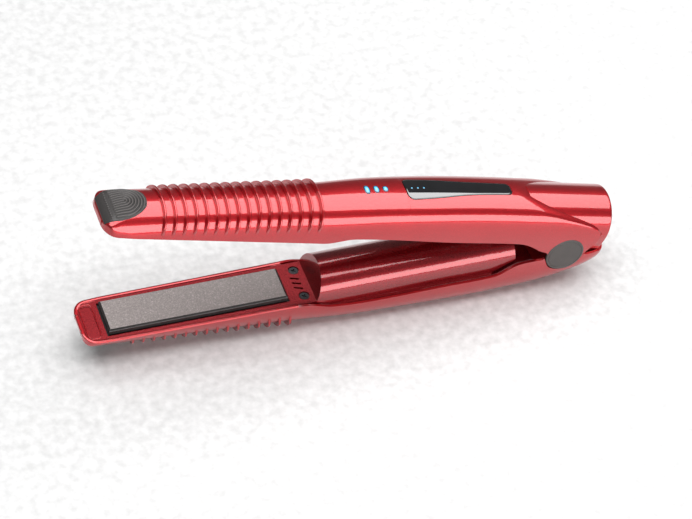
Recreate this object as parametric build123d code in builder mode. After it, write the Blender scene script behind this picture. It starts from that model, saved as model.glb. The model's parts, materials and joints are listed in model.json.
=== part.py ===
from build123d import *
import os
from math import atan, degrees, tan, radians

os.makedirs("parts", exist_ok=True)

# A cordless flat iron: two arms on one sprung hinge, each with a floating heated plate.
# Each arm is drawn in its own frame: the hinge axis is Y through the origin, the tip is
# towards -X, the plate face lies in the plane z = 0 and the shell bulges towards +Z.
# The finished arms are then turned and set down so that the iron rests on its foot.

# Overall sizes
plate_length = 90.0
plate_width = 20.0
handle_reach = 128.8            # hinge axis to the fold line in front of the handle
open_angle = 15.76              # between the plates, fully open

# Lengths along an arm, from the fold line to the tip
platform_length = 9.7           # screw platform in front of the fold line
frame_margin = 3.8              # joint line to the plate's rear end
nose_length = 13.7              # plate's front end to the tip

# Shell
wall = 1.6
barrel_rim = 2.9                # height of the shell's rim beside the plate
handle_rim = 6.8                # height of the rim along the handle
hinge_rim = 1.0                 # height of the rim just in front of the hinge
tip_depth = 11.9                # crown height at the plate's front end
waist_depth = 20.5              # crown height at the plate's rear end
upper_grip_depth = 27.3         # crown height in the middle of the upper handle
lower_grip_depth = 23.9         # crown height in the middle of the lower handle
tip_half_width = 14.8
waist_half_width = 15.6
grip_half_width = 17.2
nose_edge = 5.6                 # height of the tip's front edge
nose_corner = 9.0               # rounding of the tip, seen from above
nose_angle = 16.1               # slope of the tip under the rubber pad

# Grip ribs over the barrel
rib_pitch = 5.284
rib_thickness = 1.1
rib_height_tip = 1.3
rib_height_waist = 1.8
rib_start = 0.9                 # rearmost rib, behind the plate's rear end
rib_front_margin = 11.6         # foremost rib, behind the plate's front end

# Plate set
plate_face = 0.15               # each plate face stands this far back from the middle plane
plate_thickness = 3.2
plate_bevel = 0.9
rail_height = 2.0
rail_outer = 8.6
rail_inner = 7.4
float_travel = 0.8
plate_gap = 0.8                 # black gap round the plate
bezel_thickness = 1.4
seam = 0.12                     # joint line between mouldings
heater_length = 62.0
heater_end = 16.0               # plate's front end to the heater
clamp_thickness = 0.6
leaf_flat = 1.4                 # leaf spring pressed flat
leaf_height = leaf_flat + float_travel
leaf_thickness = 0.3
leaf_width = 8.0
leaf_arches = 3
tray_floor = 1.0
tray_flange = 1.4
tray_lip = 1.9
sensor_diameter = 1.8

# Rubber tip pad
pad_thickness = 1.1
pad_proud = 0.25
pad_border = 1.1

# Screws beside the fold line
screw_spread = 8.6
screw_setback = 4.7             # in front of the fold line
screw_head = 4.6
screw_shank = 2.4
screw_length = 9.0
counterbore_diameter = 5.5
counterbore_depth = 2.0
platform_height = 3.3
platform_thickness = 1.6
vent_length = 4.6
vent_width = 1.1

# Battery housing under the lower handle's rounded inner face
housing_half_width = 14.0
housing_rise = 12.3
housing_base = 3.0
housing_wall = 1.5
housing_lean = 4.8              # the front face leans back by this much
housing_rear = 25.0             # its rear end, in front of the hinge axis
housing_skirt = 8.5
nest_gap = 1.0                  # upper cover to the housing with the arms shut
flange_thickness = 1.4

# Battery and boards
cell_diameter = 21.2
cell_length = 70.2
cell_depth = 7.4                # its axis, below the middle plane
cell_front = 121.5              # its front end, in front of the hinge axis
cell_gap = 0.15
tab_thickness = 0.4
tab_width = 8.0
board_thickness = 1.6
charge_board_length = 18.0
charge_board_half_width = 11.0
control_board_height = 14.0
control_board_half_width = 13.2
post_radius = 1.4
post_spread = 12.6              # board posts beside the arch, each side of the middle

# Hinge
pin_diameter = 5.0
bush_wall = 1.0
running_gap = 0.05
knuckle_radius = 8.0
knuckle_inner = 9.0
knuckle_outer = 12.6
ear_inner = 13.0
ear_radius = 9.7
ear_gap = 0.7                   # lower shell's recess, round the upper arm's ears
cap_diameter = 20.0
cap_thickness = 1.5
cap_face = 17.5                 # cap's outer face, from the middle
cap_rim = 1.2
hinge_coil_radius = 5.2
hinge_wire = 1.3
hinge_turns = 5

# Tail of the upper arm, with the charging inlet
tail_radius = 15.6
tail_height = 11.4
tail_end = 20.5
tail_flat = 2.0                 # the tail is cut flat this far below the hinge axis
tail_cap_thickness = 1.6
lower_end = 24.0
inlet_bore = 5.6
inlet_pin = 2.0
inlet_depth = 9.5
inlet_collar = 7.8
inlet_body = 10.0

# Control key and lights on the upper handle
key_front = 94.2
key_rear = 36.2
key_front_half_width = 6.9
key_rear_half_width = 3.6
key_middle_half_width = 4.8
key_front_corner = 3.2
key_rear_corner = 2.4
key_proud = 0.25
key_thickness = 1.7
key_gap = 0.25
key_travel = 0.5
key_stem = 4.0
key_lamp = 1.2
key_lamp_places = (91.0, 87.75, 84.5)
switch_size = 6.2
switch_height = 3.4
plunger_height = 0.6
lamp_places = (114.7, 109.8, 105.0)
lamp_lengths = (5.5, 4.5, 3.2)
lamp_width = 2.4
lamp_gap = 0.1
lamp_bar_thickness = 1.2

# Resting on a table: the foot is a flat under the lower handle, in one plane with the
# crest of the rearmost rib
foot_place = 65.0               # middle of the foot, in front of the hinge axis
foot_depth = 23.6               # depth of the foot below the middle plane, there
foot_trim = 0.06                # flat worn on the crest of the rearmost rib

# Places along an arm
x_fold = -handle_reach
x_seam = x_fold - platform_length
x_plate_rear = x_seam - frame_margin
x_plate_front = x_plate_rear - plate_length
x_plate_middle = x_plate_front + plate_length / 2
x_tip = x_plate_front - nose_length
x_screw = x_fold - screw_setback
x_housing_rear = -housing_rear
x_rib_rear = x_plate_rear + rib_start
rib_count = round((plate_length - rib_front_margin + rib_start) / rib_pitch) + 1
nose_slope = tan(radians(nose_angle))

# The plate set's heights, from the plate face into the arm
z_plate_back = plate_face + plate_thickness
z_rail_back = z_plate_back + rail_height
z_clamp_back = z_rail_back + clamp_thickness
z_tray_floor = z_clamp_back + leaf_height
z_tray_top = barrel_rim + bezel_thickness
z_tray_back = z_tray_floor + tray_floor
bezel_opening = plate_width / 2 + plate_gap
tray_half_width = bezel_opening + tray_lip
pocket_half_width = rail_outer + 0.4
x_pocket_front = x_plate_front + rib_front_margin + 2.2
x_pocket_rear = x_plate_rear - 1.5
x_heater_front = x_plate_front + heater_end


section_base = -1.2 * ear_radius      # sections reach down past the ears
above_all = 45.0                      # over everything on an arm


def barrel_share(x):
    """Share of the way from the plate's front end to its rear end."""
    return (x - x_plate_front) / plate_length


def barrel_station(x):
    """Section of the barrel at x: rim, shoulder and crown of a straight taper."""
    share = barrel_share(x)
    rim = tip_half_width + share * (waist_half_width - tip_half_width)
    depth = tip_depth + share * (waist_depth - tip_depth)
    shoulder = 12.9 + share * 2.5
    crown = 8.7 + share * 2.3
    return (x, rim, shoulder, 0.68 * depth, crown, depth)


def handle_station(place, width, depth, fullness=0.86):
    """Section of a handle at one place: half width, crown height and how square it is."""
    return (place, width, width + 0.6, 0.68 * depth, fullness * width, depth)


barrel_stations = [
    barrel_station(x_tip - 1.0),
    barrel_station(x_plate_front),
    barrel_station(x_plate_middle),
    barrel_station(x_plate_rear),
]
upper_stations = barrel_stations + [
    handle_station(-0.855 * handle_reach, 16.7, upper_grip_depth - 2.7, 0.82),
    handle_station(-0.66 * handle_reach, grip_half_width, upper_grip_depth - 1.1),
    handle_station(-0.40 * handle_reach, grip_half_width + 0.1, upper_grip_depth),
    handle_station(-0.155 * handle_reach, grip_half_width + 0.1, upper_grip_depth - 0.2),
    handle_station(0.14 * handle_reach, grip_half_width - 0.2, upper_grip_depth - 1.0),
]
lower_stations = barrel_stations + [
    handle_station(-0.855 * handle_reach, 16.7, lower_grip_depth - 1.1, 0.82),
    handle_station(-0.60 * handle_reach, grip_half_width, lower_grip_depth),
    handle_station(-0.25 * handle_reach, grip_half_width, lower_grip_depth + 0.7),
    handle_station(0.0, grip_half_width - 0.2, lower_grip_depth - 2.6),
    handle_station(lower_end - 8.0, grip_half_width - 1.0, lower_grip_depth - 8.6),
    handle_station(lower_end + 1.0, grip_half_width - 3.2, lower_grip_depth - 14.8),
]


def arm_section(station, inset=0.0, grow=0.0):
    """Half-round outline across an arm; grow lifts its crown and leaves its rim."""
    x, rim, shoulder, shoulder_height, crown, depth = station
    side = rim - inset
    top = depth - inset + grow
    with BuildSketch(Plane.YZ.offset(x)) as section:
        with BuildLine():
            Line((side, section_base), (side, barrel_rim))
            Bezier((side, barrel_rim), (shoulder - inset, shoulder_height + grow / 2),
                   (crown + grow, top), (0, top))
            Bezier((0, top), (-crown - grow, top),
                   (inset - shoulder, shoulder_height + grow / 2), (-side, barrel_rim))
            Line((-side, barrel_rim), (-side, section_base))
            Line((-side, section_base), (side, section_base))
        make_face()
    return section.sketch


def arm_body(stations, inset=0.0):
    """Solid body through a list of sections, a wall's thickness smaller where asked."""
    with BuildPart() as body:
        loft(sections=[arm_section(station, inset) for station in stations])
    return body.part


def nose_plan(inset, x_rear):
    """Rounded outline of the tip from above, from its front edge back to x_rear."""
    half = tip_half_width + 0.25 - inset
    with BuildSketch(Plane.XY) as plan:
        with Locations((x_tip + inset, 0)):
            Rectangle(x_rear - x_tip - inset, 2 * half, align=(Align.MIN, Align.CENTER))
        front = plan.vertices().group_by(Axis.X)[0]
        fillet(front, nose_corner - inset)
    return plan.sketch


def tip_corners():
    """What the tip's rounded outline leaves of a square end."""
    with BuildPart() as corners:
        with BuildSketch():
            with Locations((x_tip - 2, 0)):
                Rectangle(nose_corner + 3, 3 * grip_half_width, align=(Align.MIN, Align.CENTER))
        extrude(amount=2 * waist_depth)
        extrude(nose_plan(0, x_plate_front + 12), amount=2 * waist_depth, mode=Mode.SUBTRACT)
    return corners.part


def slab_below_slope(over, under, x_rear):
    """Everything between two lines parallel to the tip's slope, over and under it."""
    z_front = nose_edge - nose_slope
    z_rear = nose_edge + nose_slope * (x_rear - x_tip)
    with BuildPart() as slab:
        with BuildSketch(Plane.XZ):
            Polygon((x_tip - 1, z_front + over), (x_rear, z_rear + over),
                    (x_rear, z_rear - under), (x_tip - 1, z_front - under), align=None)
        extrude(amount=2 * grip_half_width, both=True)
    return slab.part


def tip_pad_body(clearance):
    """The rubber pad on the sloping tip, larger all round by a clearance."""
    border = pad_border - clearance
    x_rear = x_plate_front + rib_front_margin + 4
    with BuildPart() as pad:
        add(arm_body(barrel_stations, border))
        extrude(nose_plan(border, x_rear), amount=waist_depth, mode=Mode.INTERSECT)
        add(slab_below_slope(pad_proud + clearance, pad_thickness - pad_proud + clearance,
                             x_rear), mode=Mode.INTERSECT)
    return pad.part


def rib_height(x):
    """Height of a rib over the crown at x, growing a little towards the waist."""
    return rib_height_tip + barrel_share(x) * (rib_height_waist - rib_height_tip)


def rib_body(index):
    """One grip rib: a thin fin that grows out of the shell towards the crown."""
    x = x_rib_rear - index * rib_pitch
    height = rib_height(x)
    station = (x - rib_thickness / 2,) + barrel_station(x)[1:]
    with BuildPart() as rib:
        extrude(arm_section(station, 0.35, height + 0.35), amount=rib_thickness)
    return rib.part


def rest_depth(x):
    """Depth of the resting plane below the middle plane, at x on the lower arm."""
    return foot_depth + rest_slope * (x + foot_place)


crest_depth = barrel_station(x_rib_rear)[5] + rib_height(x_rib_rear) - foot_trim
rest_slope = (foot_depth - crest_depth) / (-foot_place - x_rib_rear)
rest_angle = degrees(atan(rest_slope))

# Where the arms stand: the iron rests with its foot's middle at the origin
foot_middle = Location((0, 0, 0), (0, -rest_angle, 0)) * Location((-foot_place, 0, -foot_depth))
set_down = Location((-foot_middle.position.X, 0, -foot_middle.position.Z))
open_frame = set_down * Location((0, 0, 0), (0, -rest_angle, 0))
lower_place = open_frame * Location((0, 0, 0), (180, 0, 0))
upper_place = open_frame * Location((0, 0, 0), (0, open_angle, 0))


def hand_over(piece, name, place):
    """Stand a finished piece where its arm stands, name it and write it."""
    piece.part.move(place)
    piece.part.label = name
    export_step(piece.part, f"parts/{name}.step")


def along_y(radius, y_from, y_to, x=0.0, z=0.0):
    """A round bar across the arm, between two places along Y."""
    with BuildPart() as bar:
        with BuildSketch(Plane.XZ.offset(-y_from)):
            with Locations((x, z)):
                Circle(radius)
        extrude(amount=y_from - y_to)
    return bar.part


def block(x_from, x_to, half_width, z_from, z_to, y_middle=0.0):
    """A plain block between two places along X, centred across the arm."""
    with BuildPart() as body:
        with BuildSketch(Plane.XY.offset(z_from)):
            with Locations((x_from, y_middle)):
                Rectangle(x_to - x_from, 2 * half_width, align=(Align.MIN, Align.CENTER))
        extrude(amount=z_to - z_from)
    return body.part


# ---------------------------------------------------------------- pieces of both arms

tray_gap = 0.15
x_tray_front = x_plate_front - 1.6
x_tray_rear = x_seam - 1.0
z_screw_boss = platform_height + platform_thickness + 1.6


def tray_envelope(clearance):
    """Outer form of the plate tray: a shallow flange and a deeper well."""
    with BuildPart() as envelope:
        add(block(x_tray_front - clearance, x_tray_rear + clearance,
                  tray_half_width + clearance, z_tray_top - clearance,
                  z_tray_top + tray_flange + clearance))
        add(block(x_pocket_front - tray_floor - clearance, x_pocket_rear + tray_floor + clearance,
                  pocket_half_width + tray_floor - 0.2 + clearance, z_tray_top,
                  z_tray_back + clearance))
    return envelope.part


for arm, place in (("upper", upper_place), ("lower", lower_place)):
    with BuildPart() as heating_plate:
        with BuildSketch(Plane.XY.offset(plate_face)):
            with Locations((x_plate_middle, 0)):
                Rectangle(plate_length, plate_width)
        extrude(amount=plate_thickness)
        top_edges = heating_plate.faces().sort_by(Axis.Z)[0].edges()
        chamfer(top_edges, plate_bevel)
        for side in (-1, 1):
            with BuildSketch(Plane.XY.offset(z_plate_back)):
                with Locations((x_pocket_front + 0.8, side * (rail_outer + rail_inner) / 2)):
                    Rectangle(x_pocket_rear - x_pocket_front - 1.6, rail_outer - rail_inner,
                              align=(Align.MIN, Align.CENTER))
            extrude(amount=rail_height)
    hand_over(heating_plate, f"{arm}_plate", place)

    with BuildPart() as heater:
        add(block(x_heater_front, x_heater_front + heater_length, rail_inner - 0.2,
                  z_plate_back, z_rail_back))
        chamfer(heater.edges().filter_by(Axis.Z), 0.8)
    hand_over(heater, f"{arm}_heater", place)

    with BuildPart() as clamp:
        add(block(x_heater_front + 1, x_heater_front + heater_length - 1, rail_outer,
                  z_rail_back, z_clamp_back))
        with BuildSketch(Plane.XY.offset(z_rail_back)):
            with GridLocations(heater_length / 3, 1, 3, 1):
                with Locations((x_heater_front + heater_length / 2, 0)):
                    SlotOverall(10, 3)
        extrude(amount=clamp_thickness, mode=Mode.SUBTRACT)
    hand_over(clamp, f"{arm}_heater_clamp", place)

    x_sensor = x_heater_front + heater_length + 1.5
    for sensor, side in (("thermal_fuse", -1), ("temperature_sensor", 1)):
        with BuildPart() as capsule:
            with BuildSketch(Plane.YZ.offset(x_sensor)):
                with Locations((side * rail_inner / 2, z_plate_back + sensor_diameter / 2)):
                    Circle(sensor_diameter / 2)
            extrude(amount=x_pocket_rear - x_sensor - 2)
            fillet(capsule.edges().filter_by(GeomType.CIRCLE), sensor_diameter / 4)
        hand_over(capsule, f"{arm}_{sensor}", place)

    # Leaf spring under the clamp: a thin strip in shallow arches, feet on the tray
    arch = (heater_length - 10) / leaf_arches
    with BuildPart() as leaf:
        for index in range(leaf_arches):
            x_from = x_heater_front + 5 + index * arch
            x_to = x_from + arch
            with BuildSketch(Plane.XZ):
                with BuildLine():
                    outer = ThreePointArc((x_from, z_tray_floor),
                                          ((x_from + x_to) / 2, z_clamp_back),
                                          (x_to, z_tray_floor))
                    inner = ThreePointArc((x_from + 1.5, z_tray_floor),
                                          ((x_from + x_to) / 2, z_clamp_back + leaf_thickness),
                                          (x_to - 1.5, z_tray_floor))
                    Line(outer @ 0, inner @ 0)
                    Line(inner @ 1, outer @ 1)
                make_face()
            extrude(amount=leaf_width / 2, both=True)
        add(block(x_heater_front + 5, x_heater_front + heater_length - 5, leaf_width / 2,
                  z_tray_floor - leaf_thickness, z_tray_floor))
    hand_over(leaf, f"{arm}_leaf_spring", place)

    with BuildPart() as tray:
        add(tray_envelope(0))
        add(block(x_pocket_front, x_pocket_rear, pocket_half_width, 0,
                  z_tray_floor), mode=Mode.SUBTRACT)
    hand_over(tray, f"{arm}_plate_tray", place)

    with BuildPart() as bezel:
        extrude(nose_plan(wall + seam, x_seam), amount=z_tray_top - tray_gap)
        add(block(x_tip, x_seam + 1, waist_half_width, 0, barrel_rim), mode=Mode.SUBTRACT)
        add(block(x_plate_front - plate_gap, x_plate_rear + plate_gap, bezel_opening,
                  0, z_tray_top + 1), mode=Mode.SUBTRACT)
        with BuildSketch(Plane.XY.offset(barrel_rim)):
            with Locations((x_plate_front - nose_length / 2 + 0.2, 0)):
                RectangleRounded(nose_length - 2 * wall - 3.4, 2 * tip_half_width - 10, 2.5)
        extrude(amount=0.35, mode=Mode.SUBTRACT)
    hand_over(bezel, f"{arm}_bezel", place)

    with BuildPart() as pad:
        add(tip_pad_body(0))
    hand_over(pad, f"{arm}_tip_pad", place)

    with BuildPart() as screws:
        for side in (-1, 1):
            with BuildSketch(Plane.XY.offset(platform_height + 0.4)):
                with Locations((x_screw, side * screw_spread)):
                    Circle(screw_head / 2)
            extrude(amount=counterbore_depth - 0.4)
            with BuildSketch(Plane.XY.offset(platform_height + counterbore_depth)):
                with Locations((x_screw, side * screw_spread)):
                    Circle(screw_shank / 2)
            extrude(amount=screw_length)
            with BuildSketch(Plane.XY.offset(platform_height + 0.4)):
                with Locations((x_screw, side * screw_spread)):
                    Rectangle(2.6, 0.55, rotation=35)
                    Rectangle(0.55, 2.6, rotation=35)
            extrude(amount=0.9, mode=Mode.SUBTRACT)
    hand_over(screws, f"{arm}_screws", place)


def platform_cuts(piece_height):
    """Counterbores, screw holes and vent slots of a screw platform."""
    with BuildPart() as cuts:
        for side in (-1, 1):
            with BuildSketch(Plane.XY.offset(platform_height - 0.1)):
                with Locations((x_screw, side * screw_spread)):
                    Circle(counterbore_diameter / 2)
            extrude(amount=counterbore_depth + 0.1)
            with BuildSketch(Plane.XY.offset(platform_height)):
                with Locations((x_screw, side * screw_spread)):
                    Circle(screw_shank / 2 + 0.15)
            extrude(amount=piece_height)
        with BuildSketch(Plane.XY.offset(platform_height - 0.1)):
            with Locations((x_screw - 1.2, 0)):
                with GridLocations(1, 3.2, 1, 3):
                    SlotOverall(vent_length, vent_width, rotation=20)
        extrude(amount=platform_thickness + 0.2, mode=Mode.ADD)
    return cuts.part


def platform_body():
    """Screw platform between the plate frame and the fold line, with two screw seats."""
    half = waist_half_width - wall - 0.25
    with BuildPart() as platform:
        add(block(x_seam + seam, x_fold + housing_wall, half, platform_height,
                  platform_height + platform_thickness))
        for side in (-1, 1):
            with BuildSketch(Plane.XY.offset(platform_height)):
                with Locations((x_screw, side * screw_spread)):
                    Circle(counterbore_diameter / 2 + 1.0)
            extrude(amount=z_screw_boss - platform_height)
        add(platform_cuts(platform_thickness + 4), mode=Mode.SUBTRACT)
    return platform.part


def shell_bosses(stations):
    """Two posts that take the platform's screws, grown out of a shell's inner face."""
    with BuildPart() as posts:
        for side in (-1, 1):
            with BuildSketch(Plane.XY.offset(z_screw_boss + 0.05)):
                with Locations((x_screw, side * screw_spread)):
                    Circle(screw_shank / 2 + 1.5)
            extrude(amount=waist_depth)
        add(arm_body(stations, wall / 2), mode=Mode.INTERSECT)
        for side in (-1, 1):
            with BuildSketch(Plane.XY.offset(z_screw_boss)):
                with Locations((x_screw, side * screw_spread)):
                    Circle(screw_shank / 2 + 0.03)
            extrude(amount=screw_length - 0.5, mode=Mode.SUBTRACT)
    return posts.part


def barrel_cavity(stations, x_rear):
    """Hollow of a shell behind its nose, open towards the other arm."""
    with BuildPart() as hollow:
        add(arm_body(stations, wall))
        add(block(x_pocket_front - tray_floor - 0.3, x_rear, 2 * grip_half_width,
                  2 * section_base, 60), mode=Mode.INTERSECT)
        add(tray_envelope(tray_gap))
        extrude(nose_plan(wall, x_seam), amount=z_tray_top + 0.02)
    return hollow.part


# ---------------------------------------------------------------- upper arm

# Side view of the lobe that rounds off the upper handle over the tail
lobe_outline = [(11.3, 2.4), (15.4, 13.5), (9.0, 22.0), (-8.0, 25.6), (-24.0, 28.0)]
tail_tube_front = -30.0

with BuildPart() as upper_shell:
    add(arm_body(upper_stations))
    for index in range(rib_count):
        add(rib_body(index))
    with BuildSketch(Plane.XZ):
        with BuildLine():
            rim_front = Line((x_tip, barrel_rim), (x_seam + 2, barrel_rim))
            rim_rise = Spline(rim_front @ 1, (x_fold + 9, handle_rim), tangents=((1, 0), (1, 0)))
            rim_rear = Line(rim_rise @ 1, (-31, handle_rim))
            rim_fall = Spline(rim_rear @ 1, (-ear_radius - 2, hinge_rim), tangents=((1, 0), (1, 0)))
            ear_front = Line(rim_fall @ 1, (-ear_radius, hinge_rim * 0.5))
            ear_under = ThreePointArc(ear_front @ 1, (0, -ear_radius),
                                      (ear_radius * 0.97, -ear_radius * 0.25))
            lobe = Spline(ear_under @ 1, *lobe_outline)
            crest = Line(lobe @ 1, (lobe_outline[-1][0], above_all))
            crown = Line(crest @ 1, (x_tip + plate_length, above_all))
            nose_top = Line(crown @ 1, (x_tip + plate_length, nose_edge + plate_length * nose_slope))
            nose = Line(nose_top @ 1, (x_tip, nose_edge))
            front = Line(nose @ 1, (x_tip, barrel_rim))
        make_face()
    extrude(amount=2 * grip_half_width, both=True, mode=Mode.INTERSECT)
    add(tip_corners(), mode=Mode.SUBTRACT)
    with BuildSketch(Plane.YZ.offset(tail_tube_front)):
        with Locations((0, tail_height)):
            Circle(tail_radius)
    extrude(amount=tail_end - tail_tube_front)
    add(barrel_cavity(upper_stations, -16), mode=Mode.SUBTRACT)
    with BuildSketch(Plane.YZ.offset(tail_tube_front - 0.5)):
        with Locations((0, tail_height)):
            Circle(tail_radius - wall)
    extrude(amount=tail_end - tail_tube_front + 1, mode=Mode.SUBTRACT)
    add(block(tail_tube_front - 1, tail_end + 1, ear_inner, 2 * section_base, -tail_flat),
        mode=Mode.SUBTRACT)
    add(block(ear_radius + 3, tail_end + 1, 20, 2 * section_base, -tail_flat), mode=Mode.SUBTRACT)
    add(block(tail_tube_front - 1, ear_radius - 0.5, ear_inner, section_base, tail_height - 6),
        mode=Mode.SUBTRACT)
    add(along_y(knuckle_radius + ear_gap, -ear_inner, ear_inner), mode=Mode.SUBTRACT)
    add(tip_pad_body(0.1), mode=Mode.SUBTRACT)
    add(shell_bosses(upper_stations))
    for side in (-1, 1):
        add(along_y(cap_diameter / 2 + 0.15, side * (cap_face - cap_thickness), side * 30),
            mode=Mode.SUBTRACT)
        add(along_y(pin_diameter / 2 + 0.02, side * (ear_inner - 1), side * 30),
            mode=Mode.SUBTRACT)


def cavity_slice(stations, inset, x_from, x_to, z_from, z_to):
    """Part of a shell's hollow between two places along it and two heights."""
    with BuildPart() as slice_body:
        add(arm_body(stations, inset))
        add(block(x_from, x_to, 2 * grip_half_width, z_from, z_to), mode=Mode.INTERSECT)
    return slice_body.part


# Cover under the upper handle: a flange that closes the shell and an arch that clears
# the battery housing when the arms are shut
cover_rear = x_housing_rear - 11
arch_half_width = housing_half_width + nest_gap
arch_rise = housing_rise + nest_gap
cover_flange = handle_rim + 0.2
with BuildPart() as upper_inner_cover:
    add(cavity_slice(upper_stations, wall + 0.15, x_fold, cover_rear, cover_flange,
                     cover_flange + flange_thickness))
    with BuildSketch(Plane.YZ.offset(x_fold + 1)):
        with Locations((0, -housing_base)):
            Ellipse(arch_half_width + housing_wall, arch_rise + housing_wall)
        with Locations((0, cover_flange)):
            Rectangle(60, 60, align=(Align.CENTER, Align.MAX), mode=Mode.SUBTRACT)
    extrude(amount=cover_rear - x_fold - 1)
    with BuildSketch(Plane.YZ.offset(x_fold - 1)):
        with Locations((0, -housing_base)):
            Ellipse(arch_half_width, arch_rise)
    extrude(amount=cover_rear - x_fold + 2, mode=Mode.SUBTRACT)
    # Leaning wall from the fold line up to the arch
    lean = (housing_lean - 2.2) / (housing_rise - housing_base)
    wall_top = arch_rise - housing_base + housing_wall
    x_wall_top = x_fold + lean * (wall_top - platform_height)
    with BuildSketch(Plane.XZ):
        Polygon((x_fold - 0.2, platform_height), (x_wall_top, wall_top),
                (x_wall_top + housing_wall, wall_top),
                (x_fold - 0.2 + housing_wall, platform_height), align=None)
    extrude(amount=waist_half_width - wall - 0.25, both=True)
    add(platform_body())
    for x_post in (x_fold + 16.8, cover_rear - 8):
        with BuildSketch(Plane.XY.offset(cover_flange + flange_thickness / 2)):
            with Locations((x_post, -post_spread), (x_post, post_spread)):
                Circle(post_radius)
        extrude(amount=control_board_height - cover_flange - flange_thickness / 2)
hand_over(upper_inner_cover, "upper_inner_cover", upper_place)

board_front = x_fold + 11.8
board_rear = cover_rear - 3
with BuildPart() as control_board:
    with BuildSketch(Plane.XY.offset(control_board_height)):
        with Locations(((board_front + board_rear) / 2, 0)):
            RectangleRounded(board_rear - board_front, 2 * control_board_half_width, 1.5)
    extrude(amount=board_thickness)
    with BuildSketch(Plane.XY.offset(control_board_height)):
        with Locations((board_rear - 4, -9), (board_rear - 4, 9), (board_front + 4, -9),
                       (board_front + 4, 9)):
            Circle(1.2)
    extrude(amount=board_thickness, mode=Mode.SUBTRACT)
    # The controller and two smaller chips
    with BuildSketch(Plane.XY.offset(control_board_height + board_thickness)):
        with Locations((board_rear - 18, 0)):
            Rectangle(9, 9)
        with Locations((board_rear - 18, 9.2), (board_front + 24, -8.5)):
            Rectangle(5, 4)
    extrude(amount=1.2)
hand_over(control_board, "control_board", upper_place)

board_top = control_board_height + board_thickness
x_switch = -(key_front + key_rear) / 2 - 12
with BuildPart() as key_switch:
    with BuildSketch(Plane.XY.offset(board_top)):
        with Locations((x_switch, 0)):
            Rectangle(switch_size, switch_size)
    extrude(amount=switch_height)
    with BuildSketch(Plane.XY.offset(board_top + switch_height)):
        with Locations((x_switch, 0)):
            Circle(1.75)
    extrude(amount=plunger_height)
hand_over(key_switch, "key_switch", upper_place)


def key_outline(clearance):
    """Leaf outline of the control key from above: wide front, waisted, narrow rear."""
    front = -key_front - clearance
    rear = -key_rear + clearance
    with BuildSketch(Plane.XY) as leaf_plan:
        with BuildLine():
            side = Spline((front, key_front_half_width + clearance),
                          (front + 16, key_middle_half_width + 1.3 + clearance),
                          (front + 32, key_middle_half_width - 0.2 + clearance),
                          (rear, key_rear_half_width + clearance))
            mirror(about=Plane.XZ)
            Line((front, -key_front_half_width - clearance),
                 (front, key_front_half_width + clearance))
            Line((rear, -key_rear_half_width - clearance),
                 (rear, key_rear_half_width + clearance))
        make_face()
        fillet(leaf_plan.vertices().group_by(Axis.X)[0], key_front_corner + clearance)
        fillet(leaf_plan.vertices().group_by(Axis.X)[-1], key_rear_corner + clearance)
    return leaf_plan.sketch


def under_crown(stations, proud, thickness):
    """Layer that follows a shell's crown, standing proud of it, of a given thickness."""
    with BuildPart() as layer:
        add(arm_body(stations, -proud))
        add(arm_body(stations, thickness - proud), mode=Mode.SUBTRACT)
    return layer.part


stem_foot = board_top + switch_height + plunger_height + key_travel + 0.15
with BuildPart() as control_key:
    extrude(key_outline(0), amount=60)
    add(under_crown(upper_stations, key_proud, key_thickness), mode=Mode.INTERSECT)
    add(block(-key_front, -key_rear, key_front_half_width + 1, 8, 60), mode=Mode.INTERSECT)
    with BuildSketch(Plane.XY.offset(stem_foot)):
        with Locations((x_switch, 0)):
            Circle(key_stem / 2)
    extrude(until=Until.NEXT)
    with BuildSketch(Plane.XY.offset(12)):
        with Locations([(-place_x, 0) for place_x in key_lamp_places]):
            Circle(key_lamp / 2 + 0.02)
    extrude(amount=30, mode=Mode.SUBTRACT)
hand_over(control_key, "control_key", upper_place)

with BuildPart() as key_lamps:
    with BuildSketch(Plane.XY.offset(12)):
        with Locations([(-place_x, 0) for place_x in key_lamp_places]):
            Circle(key_lamp / 2)
    extrude(amount=30)
    add(under_crown(upper_stations, key_proud + 0.05, key_thickness), mode=Mode.INTERSECT)
hand_over(key_lamps, "key_lamps", upper_place)


def lamp_slots(clearance):
    """Three oval lights on the crown's centre line, the longest in front."""
    with BuildSketch(Plane.XY.offset(board_top)) as slots:
        for place_x, length in zip(lamp_places, lamp_lengths):
            with Locations((-place_x, 0)):
                SlotOverall(length + 2 * clearance, lamp_width + 2 * clearance, rotation=90)
    return slots.sketch


with BuildPart() as indicator_lens:
    extrude(lamp_slots(0), amount=40)
    add(arm_body(upper_stations, -0.15), mode=Mode.INTERSECT)
    add(block(-lamp_places[0] - 2.6, -lamp_places[-1] + 2.6, 4.0, board_top + 2.2,
              board_top + 2.2 + lamp_bar_thickness))
    add(block(-lamp_places[0] - 3, -lamp_places[-1] + 3, 5.0, 0, board_top + 2.2),
        mode=Mode.SUBTRACT)
hand_over(indicator_lens, "indicator_lens", upper_place)

with BuildPart() as indicator_leds:
    with BuildSketch(Plane.XY.offset(board_top)):
        with Locations([(-place_x, 0) for place_x in lamp_places]):
            Rectangle(1.6, 2.2)
    extrude(amount=1.0)
hand_over(indicator_leds, "indicator_leds", upper_place)

# Windows in the upper shell for the key and the lights
with BuildPart() as upper_windows:
    extrude(key_outline(key_gap), amount=60)
    extrude(lamp_slots(lamp_gap), amount=40)
    add(block(x_tip, 0, 30, -1, tail_height - 1), mode=Mode.SUBTRACT)
with upper_shell:
    add(upper_windows.part, mode=Mode.SUBTRACT)
hand_over(upper_shell, "upper_shell", upper_place)

# ---------------------------------------------------------------- tail of the upper arm

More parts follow.
